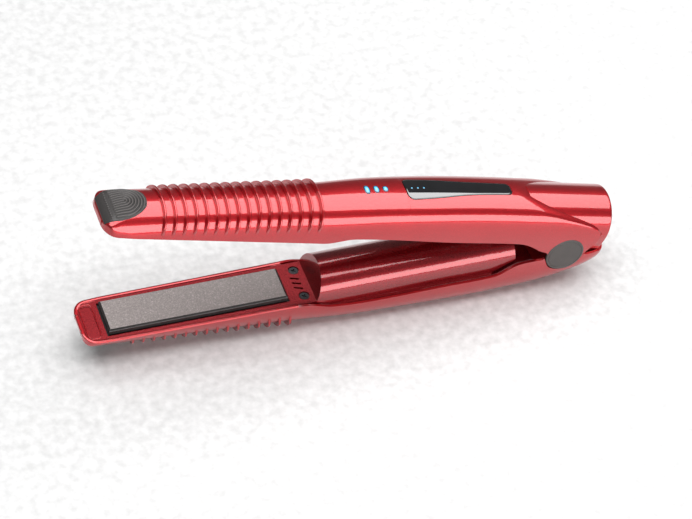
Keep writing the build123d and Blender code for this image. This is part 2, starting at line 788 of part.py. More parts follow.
with BuildPart() as tail_cap:
    with BuildSketch(Plane.YZ.offset(tail_end - 0.4 - tail_cap_thickness)):
        with Locations((0, tail_height)):
            Circle(tail_radius - wall - 0.1)
            Circle(inlet_collar / 2 + 0.05, mode=Mode.SUBTRACT)
    extrude(amount=tail_cap_thickness)
    add(block(0, tail_end + 1, 20, 2 * section_base, -tail_flat), mode=Mode.SUBTRACT)
hand_over(tail_cap, "tail_cap", upper_place)

x_cap_back = tail_end - 0.4 - tail_cap_thickness
with BuildPart() as charge_socket:
    with BuildSketch(Plane.YZ.offset(x_cap_back)):
        with Locations((0, tail_height)):
            RectangleRounded(inlet_body, inlet_body, 1)
    extrude(amount=-inlet_depth - 1.5)
    with BuildSketch(Plane.YZ.offset(x_cap_back)):
        with Locations((0, tail_height)):
            Circle(inlet_collar / 2)
    extrude(amount=tail_cap_thickness + 0.2)
    with BuildSketch(Plane.YZ.offset(x_cap_back + tail_cap_thickness + 0.2)):
        with Locations((0, tail_height)):
            Circle(inlet_bore / 2)
    extrude(amount=-inlet_depth, mode=Mode.SUBTRACT)
hand_over(charge_socket, "charge_socket", upper_place)

with BuildPart() as charge_pin:
    with BuildSketch(Plane.YZ.offset(x_cap_back + tail_cap_thickness + 0.2 - inlet_depth)):
        with Locations((0, tail_height)):
            Circle(inlet_pin / 2)
    extrude(amount=inlet_depth - 1)
hand_over(charge_pin, "charge_pin", upper_place)

# ---------------------------------------------------------------- hinge

for side, name in ((-1, "hinge_cap_near"), (1, "hinge_cap_far")):
    with BuildPart() as cap:
        add(along_y(cap_diameter / 2, side * (cap_face - cap_thickness), side * cap_face))
        chamfer(cap.edges().filter_by(GeomType.CIRCLE).sort_by(Axis.Y)[-1 if side > 0 else 0], 0.3)
        with BuildSketch(Plane.XZ.offset(-side * cap_face)):
            Circle(cap_diameter / 2 - cap_rim)
            Circle(cap_diameter / 2 - cap_rim - 0.5, mode=Mode.SUBTRACT)
        extrude(amount=0.3 * side, mode=Mode.SUBTRACT)
    hand_over(cap, name, upper_place)

pin_end = cap_face - cap_thickness - 0.1
with BuildPart() as hinge_pin:
    add(along_y(pin_diameter / 2, -pin_end, pin_end))
    chamfer(hinge_pin.edges().filter_by(GeomType.CIRCLE), 0.4)
hand_over(hinge_pin, "hinge_pin", upper_place)

with BuildPart() as hinge_bushes:
    for side in (-1, 1):
        add(along_y(pin_diameter / 2 + bush_wall, side * (knuckle_inner - 0.3),
                    side * (knuckle_outer + 0.2)))
        add(along_y(pin_diameter / 2 + running_gap, side * (knuckle_inner - 1),
                    side * (knuckle_outer + 1)), mode=Mode.SUBTRACT)
hand_over(hinge_bushes, "hinge_bushes", lower_place)

coil_width = hinge_turns * (hinge_wire + 0.2)
with BuildPart() as hinge_spring:
    with BuildLine():
        coil = Helix(hinge_wire + 0.2, coil_width, hinge_coil_radius, center=(0, -coil_width / 2, 0),
                     direction=(0, 1, 0))
    with BuildSketch(Plane(origin=coil @ 0, z_dir=coil % 0)):
        Circle(hinge_wire / 2)
    sweep()
hand_over(hinge_spring, "hinge_spring", lower_place)

# ---------------------------------------------------------------- lower arm

# Side view of the lower arm's rounded rear end
tail_outline = [(lower_end, 8.0), (lower_end - 3.0, 15), (lower_end - 14, 22), (lower_end - 30, 40)]


def rest_cut():
    """Everything below the resting plane of the lower arm."""
    with BuildPart() as below:
        with BuildSketch(Plane.XZ):
            Polygon((x_tip - 10, rest_depth(x_tip - 10)), (40, rest_depth(40)),
                    (40, rest_depth(40) + 30), (x_tip - 10, rest_depth(x_tip - 10) + 30),
                    align=None)
        extrude(amount=2 * grip_half_width, both=True)
    return below.part


with BuildPart() as lower_shell:
    add(arm_body(lower_stations))
    for index in range(rib_count):
        add(rib_body(index))
    with BuildSketch(Plane.XZ):
        with BuildLine():
            rim_front = Line((x_tip, barrel_rim), (x_seam + 2, barrel_rim))
            rim_rise = Spline(rim_front @ 1, (x_fold + 9, handle_rim), tangents=((1, 0), (1, 0)))
            rim_rear = Line(rim_rise @ 1, (-38, handle_rim))
            rim_fall = Spline(rim_rear @ 1, (-22, hinge_rim), tangents=((1, 0), (1, 0)))
            ear_front = Line(rim_fall @ 1, (0, hinge_rim))
            tail_rim = Line(ear_front @ 1, (ear_radius, hinge_rim + 2.4))
            tail_rim_end = Line(tail_rim @ 1, (lower_end - 1.5, hinge_rim + 3.2))
            tail_back = Spline(tail_rim_end @ 1, *tail_outline)
            crown = Line(tail_back @ 1, (x_tip + plate_length, above_all))
            nose_top = Line(crown @ 1, (x_tip + plate_length, nose_edge + plate_length * nose_slope))
            nose = Line(nose_top @ 1, (x_tip, nose_edge))
            front = Line(nose @ 1, (x_tip, barrel_rim))
        make_face()
    extrude(amount=2 * grip_half_width, both=True, mode=Mode.INTERSECT)
    add(tip_corners(), mode=Mode.SUBTRACT)
    add(rest_cut(), mode=Mode.SUBTRACT)
    add(barrel_cavity(lower_stations, lower_end - wall), mode=Mode.SUBTRACT)
    add(along_y(ear_radius + ear_gap, -30, 30), mode=Mode.SUBTRACT)
    add(tip_pad_body(0.1), mode=Mode.SUBTRACT)
    add(shell_bosses(lower_stations))
    # Hinge knuckles: two cheeks that stand on the shell's floor and carry the bushes
    for side in (-1, 1):
        cheek = (knuckle_inner + knuckle_outer) / 2
        add(cavity_slice(lower_stations, wall / 2, -knuckle_radius,
                         knuckle_radius, 2, 60).intersect(
            block(-knuckle_radius, knuckle_radius, (knuckle_outer - knuckle_inner) / 2, 0, 60,
                  side * cheek)))
        add(along_y(knuckle_radius, side * knuckle_inner, side * knuckle_outer))
        add(along_y(pin_diameter / 2 + bush_wall + 0.02, side * 5, side * 30), mode=Mode.SUBTRACT)
    add(along_y(ear_radius + ear_gap, -30, -ear_inner + 0.1), mode=Mode.SUBTRACT)
    add(along_y(ear_radius + ear_gap, ear_inner - 0.1, 30), mode=Mode.SUBTRACT)
hand_over(lower_shell, "lower_shell", lower_place)


def housing_side(inset):
    """Side view of the battery housing: leaning front, trimmed rear end."""
    with BuildSketch(Plane.XZ) as side_view:
        Polygon((x_fold, housing_skirt), (x_fold, platform_height),
                (x_fold + housing_lean, -housing_rise), (x_housing_rear - 3.5, -housing_rise),
                (x_housing_rear, housing_base - 0.85 * housing_rise), (x_housing_rear, 0.5),
                (x_housing_rear - 12, handle_rim), (x_housing_rear - 12, housing_skirt),
                align=None)
        if inset:
            offset(amount=-inset, kind=Kind.INTERSECTION)
    return side_view.sketch


def housing_form(inset):
    """Rounded body of the battery housing, a wall's thickness smaller where asked."""
    half = housing_half_width - inset
    with BuildPart() as form:
        with BuildSketch(Plane.YZ.offset(x_fold)):
            with BuildLine():
                skirt_far = Line((half, housing_skirt + inset), (half, housing_base))
                EllipticalCenterArc((0, housing_base), half, housing_rise - inset,
                                    start_angle=180, arc_size=180)
                skirt_near = Line((-half, housing_base), (-half, housing_skirt + inset))
                Line(skirt_near @ 1, skirt_far @ 0)
            make_face()
        extrude(amount=x_housing_rear - x_fold)
        extrude(housing_side(inset), amount=30, both=True, mode=Mode.INTERSECT)
    return form.part


with BuildPart() as battery_housing:
    add(housing_form(0))
    add(cavity_slice(lower_stations, wall + 0.15, x_fold + 8, x_housing_rear - 13,
                     handle_rim + 0.4, handle_rim + 0.4 + flange_thickness))
    add(housing_form(housing_wall), mode=Mode.SUBTRACT)
    add(block(x_fold + housing_wall, x_housing_rear - 12 - housing_wall,
              housing_half_width - housing_wall, housing_base, housing_skirt + 1), mode=Mode.SUBTRACT)
    add(platform_body())
hand_over(battery_housing, "battery_housing", lower_place)

with BuildPart() as battery_cell:
    with BuildSketch(Plane.YZ.offset(-cell_front)):
        with Locations((0, cell_depth)):
            Circle(cell_diameter / 2)
    extrude(amount=cell_length)
    chamfer(battery_cell.edges().filter_by(GeomType.CIRCLE), 0.8)
hand_over(battery_cell, "battery_cell", lower_place)

with BuildPart() as battery_tabs:
    for x_tab in (-cell_front - tab_thickness, -cell_front + cell_length):
        with BuildSketch(Plane.YZ.offset(x_tab)):
            with Locations((0, cell_depth)):
                RectangleRounded(tab_width, 0.55 * cell_diameter, 1)
        extrude(amount=tab_thickness)
hand_over(battery_tabs, "battery_tabs", lower_place)

with BuildPart() as battery_cradle:
    for x_saddle in (-cell_front + 6, -cell_front + cell_length - 14):
        add(cavity_slice(lower_stations, wall + 0.1, x_saddle, x_saddle + 8,
                         cell_depth + 3, 60))
    add(cavity_slice(lower_stations, wall + 0.1, -cell_front + 6, -cell_front + cell_length - 6,
                     cell_depth + 0.42 * cell_diameter, 60))
    add(rest_cut().moved(Location((0, 0, -wall - 0.1))), mode=Mode.SUBTRACT)
    with BuildSketch(Plane.YZ.offset(-cell_front - 1)):
        with Locations((0, cell_depth)):
            Circle(cell_diameter / 2 + cell_gap)
    extrude(amount=cell_length + 2, mode=Mode.SUBTRACT)
hand_over(battery_cradle, "battery_cradle", lower_place)

x_charge_front = -cell_front + cell_length + 3
with BuildPart() as charge_board:
    with BuildSketch(Plane.XY.offset(cell_depth + 2)):
        with Locations((x_charge_front + charge_board_length / 2, 0)):
            RectangleRounded(charge_board_length, 2 * charge_board_half_width, 1)
    extrude(amount=board_thickness)
    with BuildSketch(Plane.XY.offset(cell_depth + 2)):
        with Locations((x_charge_front + charge_board_length / 2, -4),
                       (x_charge_front + charge_board_length / 2, 5)):
            Rectangle(8, 6)
    extrude(amount=board_thickness + 2)
hand_over(charge_board, "charge_board", lower_place)
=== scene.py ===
"""A cordless flat iron: lacquered arms, ribbed barrels, floating plates, key and lamps.

Sizes are millimetres in an arm's own frame: x runs from the tip (negative) to the hinge
axis (zero) and on to the tail, y runs across the arm, and z runs from the plate's plane
outwards, to the crown of the shell. An ArmFrame turns such points into metres in place.
"""

from __future__ import annotations

import json
import logging
import math
from dataclasses import dataclass, field
from enum import Enum

import bmesh
import bpy
import numpy as np
from mathutils import Matrix


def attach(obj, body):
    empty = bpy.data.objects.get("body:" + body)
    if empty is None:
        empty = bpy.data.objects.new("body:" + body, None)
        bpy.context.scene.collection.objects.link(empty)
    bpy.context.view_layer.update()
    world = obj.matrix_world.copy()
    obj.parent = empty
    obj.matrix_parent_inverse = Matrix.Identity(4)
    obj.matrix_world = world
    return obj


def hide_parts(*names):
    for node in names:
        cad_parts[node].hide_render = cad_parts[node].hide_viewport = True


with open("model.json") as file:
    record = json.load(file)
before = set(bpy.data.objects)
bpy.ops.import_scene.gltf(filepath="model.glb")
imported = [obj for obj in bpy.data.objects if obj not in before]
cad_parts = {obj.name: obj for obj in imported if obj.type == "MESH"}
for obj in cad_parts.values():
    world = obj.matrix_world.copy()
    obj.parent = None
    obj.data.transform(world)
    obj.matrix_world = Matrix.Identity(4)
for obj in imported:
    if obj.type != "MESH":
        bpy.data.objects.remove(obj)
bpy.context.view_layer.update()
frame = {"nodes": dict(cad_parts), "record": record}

log = logging.getLogger("flat_iron")
Array = np.ndarray
Socket = bpy.types.NodeSocket
MM = 0.001


class Arm(Enum):
    """The two arms, by the CAD body that each one rides on."""

    UPPER = "upper_arm"
    LOWER = "lower_arm"


class Side(Enum):
    """The two sides of the iron, as the sign of y."""

    NEAR = -1
    FAR = 1


# ------------------------------------------------------------------ frames and curves


@dataclass(frozen=True)
class ArmFrame:
    """Where an arm stands: a point on the hinge axis and the arm's three directions."""

    hinge: Array
    rear: Array
    across: Array
    outward: Array

    @classmethod
    def of(cls, arm: Arm) -> "ArmFrame":
        """Read an arm's frame from the hinge joint and its plate's slide joint.

        Args:
            arm: which arm.

        Returns:
            The frame, with its outward direction along the plate's way in.
        """
        joints = {joint["name"]: joint for joint in frame["record"]["behaviour"]["joints"]}
        hinge = np.array(joints["arm_hinge"]["pos_m"], float)
        slide = "upper_plate_float" if arm is Arm.UPPER else "lower_plate_float"
        outward = np.array(joints[slide]["axis"], float)
        outward /= np.linalg.norm(outward)
        across = np.array([0.0, 1.0 if arm is Arm.UPPER else -1.0, 0.0])
        return cls(hinge, np.cross(across, outward), across, outward)

    def place(self, points: Array) -> Array:
        """Turn arm points in millimetres (..., 3) into metres in place.

        Args:
            points: (..., 3) points.

        Returns:
            The places, in the same shape.
        """
        axes = np.stack([self.rear, self.across, self.outward])
        return self.hinge + points @ axes * MM

    def ground(self, x: Array) -> Array:
        """Height of the table top at each place along a lower arm, z = -(h + x r) / o.

        Args:
            x: places along the arm.

        Returns:
            Heights, in millimetres.
        """
        return -(self.hinge[2] / MM + x * self.rear[2]) / self.outward[2]


def smooth_step(low: float, high: float, value: Array) -> Array:
    """Rise from 0 at low to 1 at high as 3s^2 - 2s^3 of the clamped share s.

    Args:
        low: where the rise starts.
        high: where it ends.
        value: the values to map.

    Returns:
        The shares, from 0 to 1.
    """
    share = np.clip((value - low) / (high - low), 0.0, 1.0)
    return share * share * (3.0 - 2.0 * share)


def soft_min(first: Array, second: Array, blend: float) -> Array:
    """The lesser of two values, rounded where they are within a blend of each other.

    With h = max(blend - |a - b|, 0) / blend the result is min(a, b) - h^2 blend / 4.

    Args:
        first: the one value.
        second: the other value.
        blend: the distance within which they blend.

    Returns:
        The rounded lesser value.
    """
    near = np.maximum(blend - np.abs(first - second), 0.0) / blend
    return np.minimum(first, second) - near * near * blend / 4.0


def smooth_curve(places: Array, values: Array, at: Array) -> Array:
    """Cubic curve through given values: Hermite spans with central-difference slopes.

    Args:
        places: increasing places of the given values.
        values: the given values.
        at: the places wanted.

    Returns:
        The values at the wanted places, held at the ends.
    """
    slopes = np.gradient(values, places)
    index = np.clip(np.searchsorted(places, at) - 1, 0, len(places) - 2)
    width = places[index + 1] - places[index]
    share = np.clip((at - places[index]) / width, 0.0, 1.0)
    h00 = 2 * share**3 - 3 * share**2 + 1
    h10 = share**3 - 2 * share**2 + share
    h01 = 3 * share**2 - 2 * share**3
    h11 = share**3 - share**2
    return (h00 * values[index] + h10 * width * slopes[index]
            + h01 * values[index + 1] + h11 * width * slopes[index + 1])


def row_lookup(table: Array, wanted: Array) -> Array:
    """For each row of an increasing table, the fractional column where wanted falls.

    Args:
        table: rows of increasing values.
        wanted: one value for each row.

    Returns:
        One fractional column for each row.
    """
    columns = table.shape[1]
    below = np.clip((table < wanted[:, None]).sum(axis=1), 1, columns - 1)
    rows = np.arange(len(table))
    low, high = table[rows, below - 1], table[rows, below]
    return below - 1 + np.clip((wanted - low) / np.maximum(high - low, 1e-9), 0.0, 1.0)


# ------------------------------------------------------------------ meshes


def grid_faces(rows: int, columns: int, close: bool = False) -> Array:
    """Quads of a rows by columns grid of points, closed round its columns if asked.

    Args:
        rows: number of rows.
        columns: number of columns.
        close: whether the last column joins the first.

    Returns:
        (n, 4) corner indices.
    """
    last = columns if close else columns - 1
    row, column = np.meshgrid(np.arange(rows - 1), np.arange(last), indexing="ij")
    after = (column + 1) % columns
    quads = [row * columns + column, row * columns + after,
             (row + 1) * columns + after, (row + 1) * columns + column]
    return np.stack(quads, axis=-1).reshape(-1, 4)


def make_piece(name: str, points: Array, faces: Array, finish: Finish, merge: float = 0.0,
               smooth_angle: float = 40.0) -> bpy.types.Object:
    """Make a mesh object at the origin from points in metres.

    Args:
        name: the piece's name.
        points: (..., 3) places in metres.
        faces: (m, 4) corner indices.
        finish: the surface finish.
        merge: distance in metres under which points become one.
        smooth_angle: edges sharper than this, in degrees, stay crisp.

    Returns:
        The new object, linked to the scene.
    """
    mesh = bpy.data.meshes.new(name)
    mesh.from_pydata(points.reshape(-1, 3).tolist(), [], faces.tolist())
    if merge > 0.0:
        weld(mesh, merge)
    shade_smooth(mesh, smooth_angle)
    piece = bpy.data.objects.new(name, mesh)
    bpy.context.scene.collection.objects.link(piece)
    mesh.materials.append(finish.material())
    return piece


def weld(mesh: bpy.types.Mesh, merge: float) -> None:
    """Merge points closer than a distance in metres and drop the empty faces.

    Args:
        mesh: the mesh.
        merge: the distance.
    """
    work = bmesh.new()
    work.from_mesh(mesh)
    bmesh.ops.remove_doubles(work, verts=work.verts, dist=merge)
    bmesh.ops.dissolve_degenerate(work, edges=work.edges, dist=merge * 0.5)
    work.to_mesh(mesh)
    work.free()


def face_values(mesh: bpy.types.Mesh, name: str, width: int = 1) -> Array:
    """Read one property of every face into an array.

    Args:
        mesh: the mesh.
        name: the faces' property, such as its normal or its area.
        width: how many numbers each face has.

    Returns:
        An (n,) array, or an (n, width) array where width is over one.
    """
    values = np.empty(len(mesh.polygons) * width)
    mesh.polygons.foreach_get(name, values)
    return values if width == 1 else values.reshape(-1, width)


def shade_smooth(mesh: bpy.types.Mesh, smooth_angle: float) -> None:
    """Shade a mesh smooth, but crisp at its border and at edges sharper than an angle.

    Corners are sorted by their edge, so the two faces of an edge stand side by side; the edge
    is crisp where the dot product of their normals is not over the angle's cosine.

    Args:
        mesh: the mesh.
        smooth_angle: the angle in degrees.
    """
    edge_of = np.empty(len(mesh.loops), np.int32)
    mesh.loops.foreach_get("edge_index", edge_of)
    corners = face_values(mesh, "loop_total").astype(int)
    face_of = np.repeat(np.arange(len(corners)), corners)[np.argsort(edge_of, kind="stable")]
    count = np.bincount(edge_of, minlength=len(mesh.edges))
    first = np.cumsum(count) - count
    paired = count == 2
    normals = face_values(mesh, "normal", 3)
    cosine = np.full(len(count), -1.0)
    cosine[paired] = (normals[face_of[first[paired]]]
                      * normals[face_of[first[paired] + 1]]).sum(axis=1)
    mesh.edges.foreach_set("use_edge_sharp", cosine <= math.cos(math.radians(smooth_angle)))
    mesh.polygons.foreach_set("use_smooth", np.ones(len(corners), bool))
    mesh.update()


def thicken(piece: bpy.types.Object, thickness: float) -> None:
    """Give an open surface a wall on its inner side.

    Args:
        piece: the surface, its faces outwards.
        thickness: the wall in millimetres.
    """
    wall = piece.modifiers.new("wall", "SOLIDIFY")
    wall.thickness = thickness * MM
    wall.offset = -1.0
    wall.use_even_offset = False
    wall.use_quality_normals = True


def turn_outward(piece: bpy.types.Object) -> None:
    """Turn the faces of an open surface to look away from its own middle.

    The sum of (face middle - whole middle) . normal times area is made positive.

    Args:
        piece: the surface.
    """
    mesh = piece.data
    places = np.empty(len(mesh.vertices) * 3)
    mesh.vertices.foreach_get("co", places)
    away = face_values(mesh, "center", 3) - places.reshape(-1, 3).mean(axis=0)
    facing = (away * face_values(mesh, "normal", 3)).sum(axis=1)
    if facing @ face_values(mesh, "area") < 0.0:
        mesh.flip_normals()


def face_along(piece: bpy.types.Object, way: Array) -> None:
    """Turn a sheet's faces towards a direction: the sum of n . way times area is made positive.

    Args:
        piece: the sheet.
        way: the direction.
    """
    facing = face_values(piece.data, "normal", 3) @ way
    if facing @ face_values(piece.data, "area") < 0.0:
        piece.data.flip_normals()


def paint_by_facing(piece: bpy.types.Object, finish: Finish, way: Array, limit: float) -> None:
    """Give the faces that look away from a direction a second finish.

    Args:
        piece: the piece, with its first finish on it.
        finish: the second finish.
        way: the direction.
        limit: the angle in degrees within which a face keeps its first finish.
    """
    piece.data.materials.append(finish.material())
    turned = face_values(piece.data, "normal", 3) @ way < math.cos(math.radians(limit))
    piece.data.polygons.foreach_set("material_index", turned.astype(np.int32))


def store_value(piece: bpy.types.Object, name: str, values: Array) -> None:
    """Keep one number for each point of a piece, for its finish to read.

    Args:
        piece: the piece.
        name: the name that the numbers are kept under.
        values: one number for each point.
    """
    layer = piece.data.attributes.new(name, "FLOAT", "POINT")
    layer.data.foreach_set("value", values.ravel().astype(np.float32))


def dressed_copy(node: str, body: str, finish: Finish, name: str,
                 smooth_angle: float = 28.0, bevel: float = 0.0) -> bpy.types.Object:
    """A welded, smooth-shaded copy of a CAD node that stands for the node.

    Args:
        node: the CAD node.
        body: the CAD body that it rides on.
        finish: the surface finish.
        name: the new piece's name.
        smooth_angle: edges sharper than this, in degrees, stay crisp.
        bevel: width of a fine edge rounding in millimetres, or none.

    Returns:
        The new piece.
    """
    mesh = frame["nodes"][node].data.copy()
    mesh.name = name
    mesh.materials.clear()
    mesh.materials.append(finish.material())
    weld(mesh, 2e-6)
    shade_smooth(mesh, smooth_angle)
    piece = bpy.data.objects.new(name, mesh)
    bpy.context.scene.collection.objects.link(piece)
    if bevel > 0.0:
        edge = piece.modifiers.new("edge", "BEVEL")
        edge.width = bevel * MM
        edge.segments = 2
        edge.limit_method = "ANGLE"
        edge.angle_limit = math.radians(smooth_angle)
        edge.harden_normals = True
    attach(piece, body)
    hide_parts(node)
    return piece


def dress_nodes(finish: Finish, *nodes: str) -> None:
    """Give CAD nodes that keep their shape a finish of their own.

    Args:
        finish: the finish.
        *nodes: the CAD nodes.
    """
    for node in nodes:
        part = frame["nodes"][node]
        for slot in part.material_slots:
            slot.material = finish.material()


# ------------------------------------------------------------------ finishes


class NodeKit:
    """Short ways to build one material's nodes; patterns follow the object's own place."""

    def __init__(self, name: str) -> None:
        """Start an empty node material with its shader and its place input.

        Args:
            name: the material's name.
        """
        self.material = bpy.data.materials.new(name)
        self.material.use_nodes = True
        self.tree = self.material.node_tree
        self.shader = self.tree.nodes["Principled BSDF"]
        self.place = self.tree.nodes.new("ShaderNodeTexCoord").outputs["Object"]

    def link(self, source: Socket, target: Socket) -> None:
        """Join an output to an input."""
        self.tree.links.new(source, target)

    def set(self, **sockets: float | tuple[float, ...]) -> None:
        """Set plain values on the shader's own sockets, by their names with underscores.

        Args:
            **sockets: a value for each input.
        """
        for key, value in sockets.items():
            self.shader.inputs[key.replace("_", " ")].default_value = value

    def noise(self, scale: float, detail: float = 3.0, roughness: float = 0.5) -> Socket:
        """Soft noise over the object, scale counted per metre.

        Args:
            scale: waves per metre.
            detail: how many finer layers it has.
            roughness: how strong the finer layers are.

        Returns:
            The pattern, from 0 to 1.
        """
        node = self.tree.nodes.new("ShaderNodeTexNoise")
        node.inputs["Scale"].default_value = scale
        node.inputs["Detail"].default_value = detail
        node.inputs["Roughness"].default_value = roughness
        self.link(self.place, node.inputs["Vector"])
        return node.outputs["Fac"]

    def cells(self, scale: float) -> Socket:
        """A random value for each small cell, scale counted per metre.

        Args:
            scale: cells per metre.

        Returns:
            The value, from 0 to 1.
        """
        node = self.tree.nodes.new("ShaderNodeTexVoronoi")
        node.inputs["Scale"].default_value = scale
        self.link(self.place, node.inputs["Vector"])
        split = self.tree.nodes.new("ShaderNodeSeparateColor")
        self.link(node.outputs["Color"], split.inputs["Color"])
        return split.outputs["Red"]

    def stored(self, name: str) -> Socket:
        """The number that a piece keeps for each of its points under a name.

        Args:
            name: the name that the numbers are kept under.

        Returns:
            The number.
        """
        node = self.tree.nodes.new("ShaderNodeAttribute")
        node.attribute_name = name
        return node.outputs["Fac"]

    def multiply(self, first: Socket, second: Socket) -> Socket:
        """The product of two colours.

        Args:
            first: the one colour.
            second: the other colour.

        Returns:
            The product.
        """
        node = self.tree.nodes.new("ShaderNodeMix")
        node.data_type, node.blend_type = "RGBA", "MULTIPLY"
        node.inputs["Factor"].default_value = 1.0
        self.link(first, node.inputs["A"])
        self.link(second, node.inputs["B"])
        return node.outputs["Result"]

    def ramp(self, source: Socket, stops: list[tuple[float, tuple[float, ...]]]) -> Socket:
        """Map a value to colours given at stops from 0 to 1.

        Args:
            source: the value.
            stops: places and colours, in order.

        Returns:
            The colour.
        """
        node = self.tree.nodes.new("ShaderNodeValToRGB")
        first, last = node.color_ramp.elements[0], node.color_ramp.elements[1]
        first.position, first.color = stops[0]
        last.position, last.color = stops[-1]
        for position, color in stops[1:-1]:
            node.color_ramp.elements.new(position).color = color
        self.link(source, node.inputs["Fac"])
        return node.outputs["Color"]

    def spread(self, source: Socket, low: float, high: float) -> Socket:
        """Map a value from 0..1 to low..high.

        Args:
            source: the value, from 0 to 1.
            low: what 0 becomes.
            high: what 1 becomes.

        Returns:
            The mapped value.
        """
        node = self.tree.nodes.new("ShaderNodeMapRange")
        node.inputs["To Min"].default_value = low
        node.inputs["To Max"].default_value = high
        self.link(source, node.inputs["Value"])
        return node.outputs["Result"]

    def bump(self, source: Socket, distance: float, strength: float = 1.0) -> None:
        """Raise the surface by a height pattern, distance in millimetres.

        Args:
            source: the height pattern.
            distance: its height in millimetres.
            strength: its share, from 0 to 1.
        """
        node = self.tree.nodes.new("ShaderNodeBump")
        node.inputs["Distance"].default_value = distance * MM
        node.inputs["Strength"].default_value = strength
        self.link(source, node.inputs["Height"])
        self.link(node.outputs["Normal"], self.shader.inputs["Normal"])


def shade(color: tuple[float, float, float], factor: float) -> tuple[float, float, float, float]:
    """A colour made lighter or darker by a factor, with full alpha.

    Args:
        color: red, green and blue.
        factor: how much lighter, or darker if under one.

    Returns:
        The colour with its alpha.
    """
    return (min(color[0] * factor, 1.0), min(color[1] * factor, 1.0),
            min(color[2] * factor, 1.0), 1.0)


@dataclass(frozen=True)
class Finish:
    """A named surface finish; its material is made once and then shared."""

    name: str
    color: tuple[float, float, float]
    roughness: float = 0.4

    def material(self) -> bpy.types.Material:
        """The finish's material, made on first use.

        Returns:
            The material.
        """
        found = bpy.data.materials.get(self.name)
        if found is not None:
            return found
        kit = NodeKit(self.name)
        self.build(kit)
        return kit.material

    def build(self, kit: NodeKit) -> None:
        """Make the finish's nodes; the plain finish is a faintly mottled moulding.

        Args:
            kit: the empty material to fill.
        """
        mottle = kit.noise(220.0)
        color = kit.ramp(mottle, [(0.3, shade(self.color, 0.88)), (0.7, shade(self.color, 1.1))])
        kit.link(color, kit.shader.inputs["Base Color"])
        kit.link(kit.spread(mottle, self.roughness - 0.04, self.roughness + 0.06),
                 kit.shader.inputs["Roughness"])
        kit.bump(kit.noise(2600.0, 2.0), 0.02, 0.25)


@dataclass(frozen=True)
class Lacquer(Finish):
    """Metallic lacquer under a clear coat, with fine bright flakes."""

    metallic: float = 0.55
    flake: float = 0.25
    coat: float = 1.0
    coat_roughness: float = 0.06

    def build(self, kit: NodeKit) -> None:
        """Flakes lighten single cells; slow noise varies depth; the coat is smooth.

        Args:
            kit: the empty material to fill.
        """
        flakes = kit.cells(5200.0)
        slow = kit.noise(60.0, 2.0)
        base = kit.ramp(flakes, [(0.0, shade(self.color, 1.0 - self.flake * 0.5)),
                                 (0.75, shade(self.color, 1.0)),
                                 (1.0, shade(self.color, 1.0 + self.flake))])
        tint = kit.ramp(slow, [(0.3, (0.93, 0.93, 0.93, 1.0)), (0.7, (1.0, 1.0, 1.0, 1.0))])
        kit.link(kit.multiply(base, tint), kit.shader.inputs["Base Color"])
        kit.link(kit.spread(flakes, self.roughness - 0.04, self.roughness + 0.05),
                 kit.shader.inputs["Roughness"])
        kit.set(Metallic=self.metallic, Coat_Weight=self.coat, Coat_Roughness=self.coat_roughness,
                Coat_IOR=1.62)
        kit.bump(kit.noise(90.0, 1.0), 0.03, 0.12)


@dataclass(frozen=True)
class Speckled(Finish):
    """Ceramic coating on a plate: grey with fine light and dark specks."""

    sparkle: float = 0.6

    def build(self, kit: NodeKit) -> None:
        """Cells give single specks, two noises cloud them, and their height roughens.

        Args:
            kit: the empty material to fill.
        """
        specks = kit.cells(2600.0)
        cloud = kit.noise(900.0, 4.0, 0.7)
        color = kit.ramp(specks, [(0.0, shade(self.color, 0.78)), (0.5, shade(self.color, 1.0)),
                                  (0.86, shade(self.color, 1.12)),
                                  (1.0, shade(self.color, 1.0 + self.sparkle))])
        tint = kit.ramp(cloud, [(0.35, (0.85, 0.85, 0.85, 1.0)), (0.65, (1.0, 1.0, 1.0, 1.0))])
        kit.link(kit.multiply(color, tint), kit.shader.inputs["Base Color"])
        kit.set(Metallic=0.45, Specular_IOR_Level=0.5)
        kit.link(kit.spread(specks, self.roughness - 0.08, self.roughness + 0.1),
                 kit.shader.inputs["Roughness"])
        kit.bump(cloud, 0.03, 0.3)


@dataclass(frozen=True)
class SoftRubber(Finish):
    """Matt rubber with a fine moulded grain and a faint bloom, with painted shade in its grooves
    and a painted highlight on its crests.
    """

    def build(self, kit: NodeKit) -> None:
        """Its ridge attribute runs from painted shade in the grooves to a painted highlight on the
        crests; noise makes the grain.

        Args:
            kit: the empty material to fill.
        """
        grain = kit.noise(3200.0, 2.0)
        # painted light: the ridge value darkens the grooves as painted shade and lightens the
        # crests and domes as a painted highlight
        color = kit.ramp(kit.stored("ridge"), [
            (0.0, shade(self.color, 0.35)), (0.45, shade(self.color, 0.8)),
            (0.8, shade(self.color, 1.9)), (1.0, shade(self.color, 2.4))])
        kit.link(color, kit.shader.inputs["Base Color"])
        kit.link(kit.spread(grain, self.roughness - 0.05, self.roughness + 0.08),
                 kit.shader.inputs["Roughness"])
        kit.set(Sheen_Weight=0.1, Sheen_Roughness=0.4)
        kit.bump(grain, 0.03, 0.3)


@dataclass(frozen=True)
class Gloss(Finish):
    """Deep gloss moulding with faint polishing waves."""

    coat: float = 1.0
    coat_ior: float = 1.5

    def build(self, kit: NodeKit) -> None:
        """Colour is nearly even; very slow height waves soften the mirror.

        Args:
            kit: the empty material to fill.
        """
        slow = kit.noise(120.0, 2.0)
        color = kit.ramp(slow, [(0.3, shade(self.color, 0.8)), (0.7, shade(self.color, 1.2))])
        kit.link(color, kit.shader.inputs["Base Color"])
        kit.link(kit.spread(slow, self.roughness, self.roughness + 0.03),
                 kit.shader.inputs["Roughness"])
        kit.set(Coat_Weight=self.coat, Coat_Roughness=0.03, Coat_IOR=self.coat_ior,
                Specular_IOR_Level=0.1)
        kit.bump(slow, 0.02, 0.08)


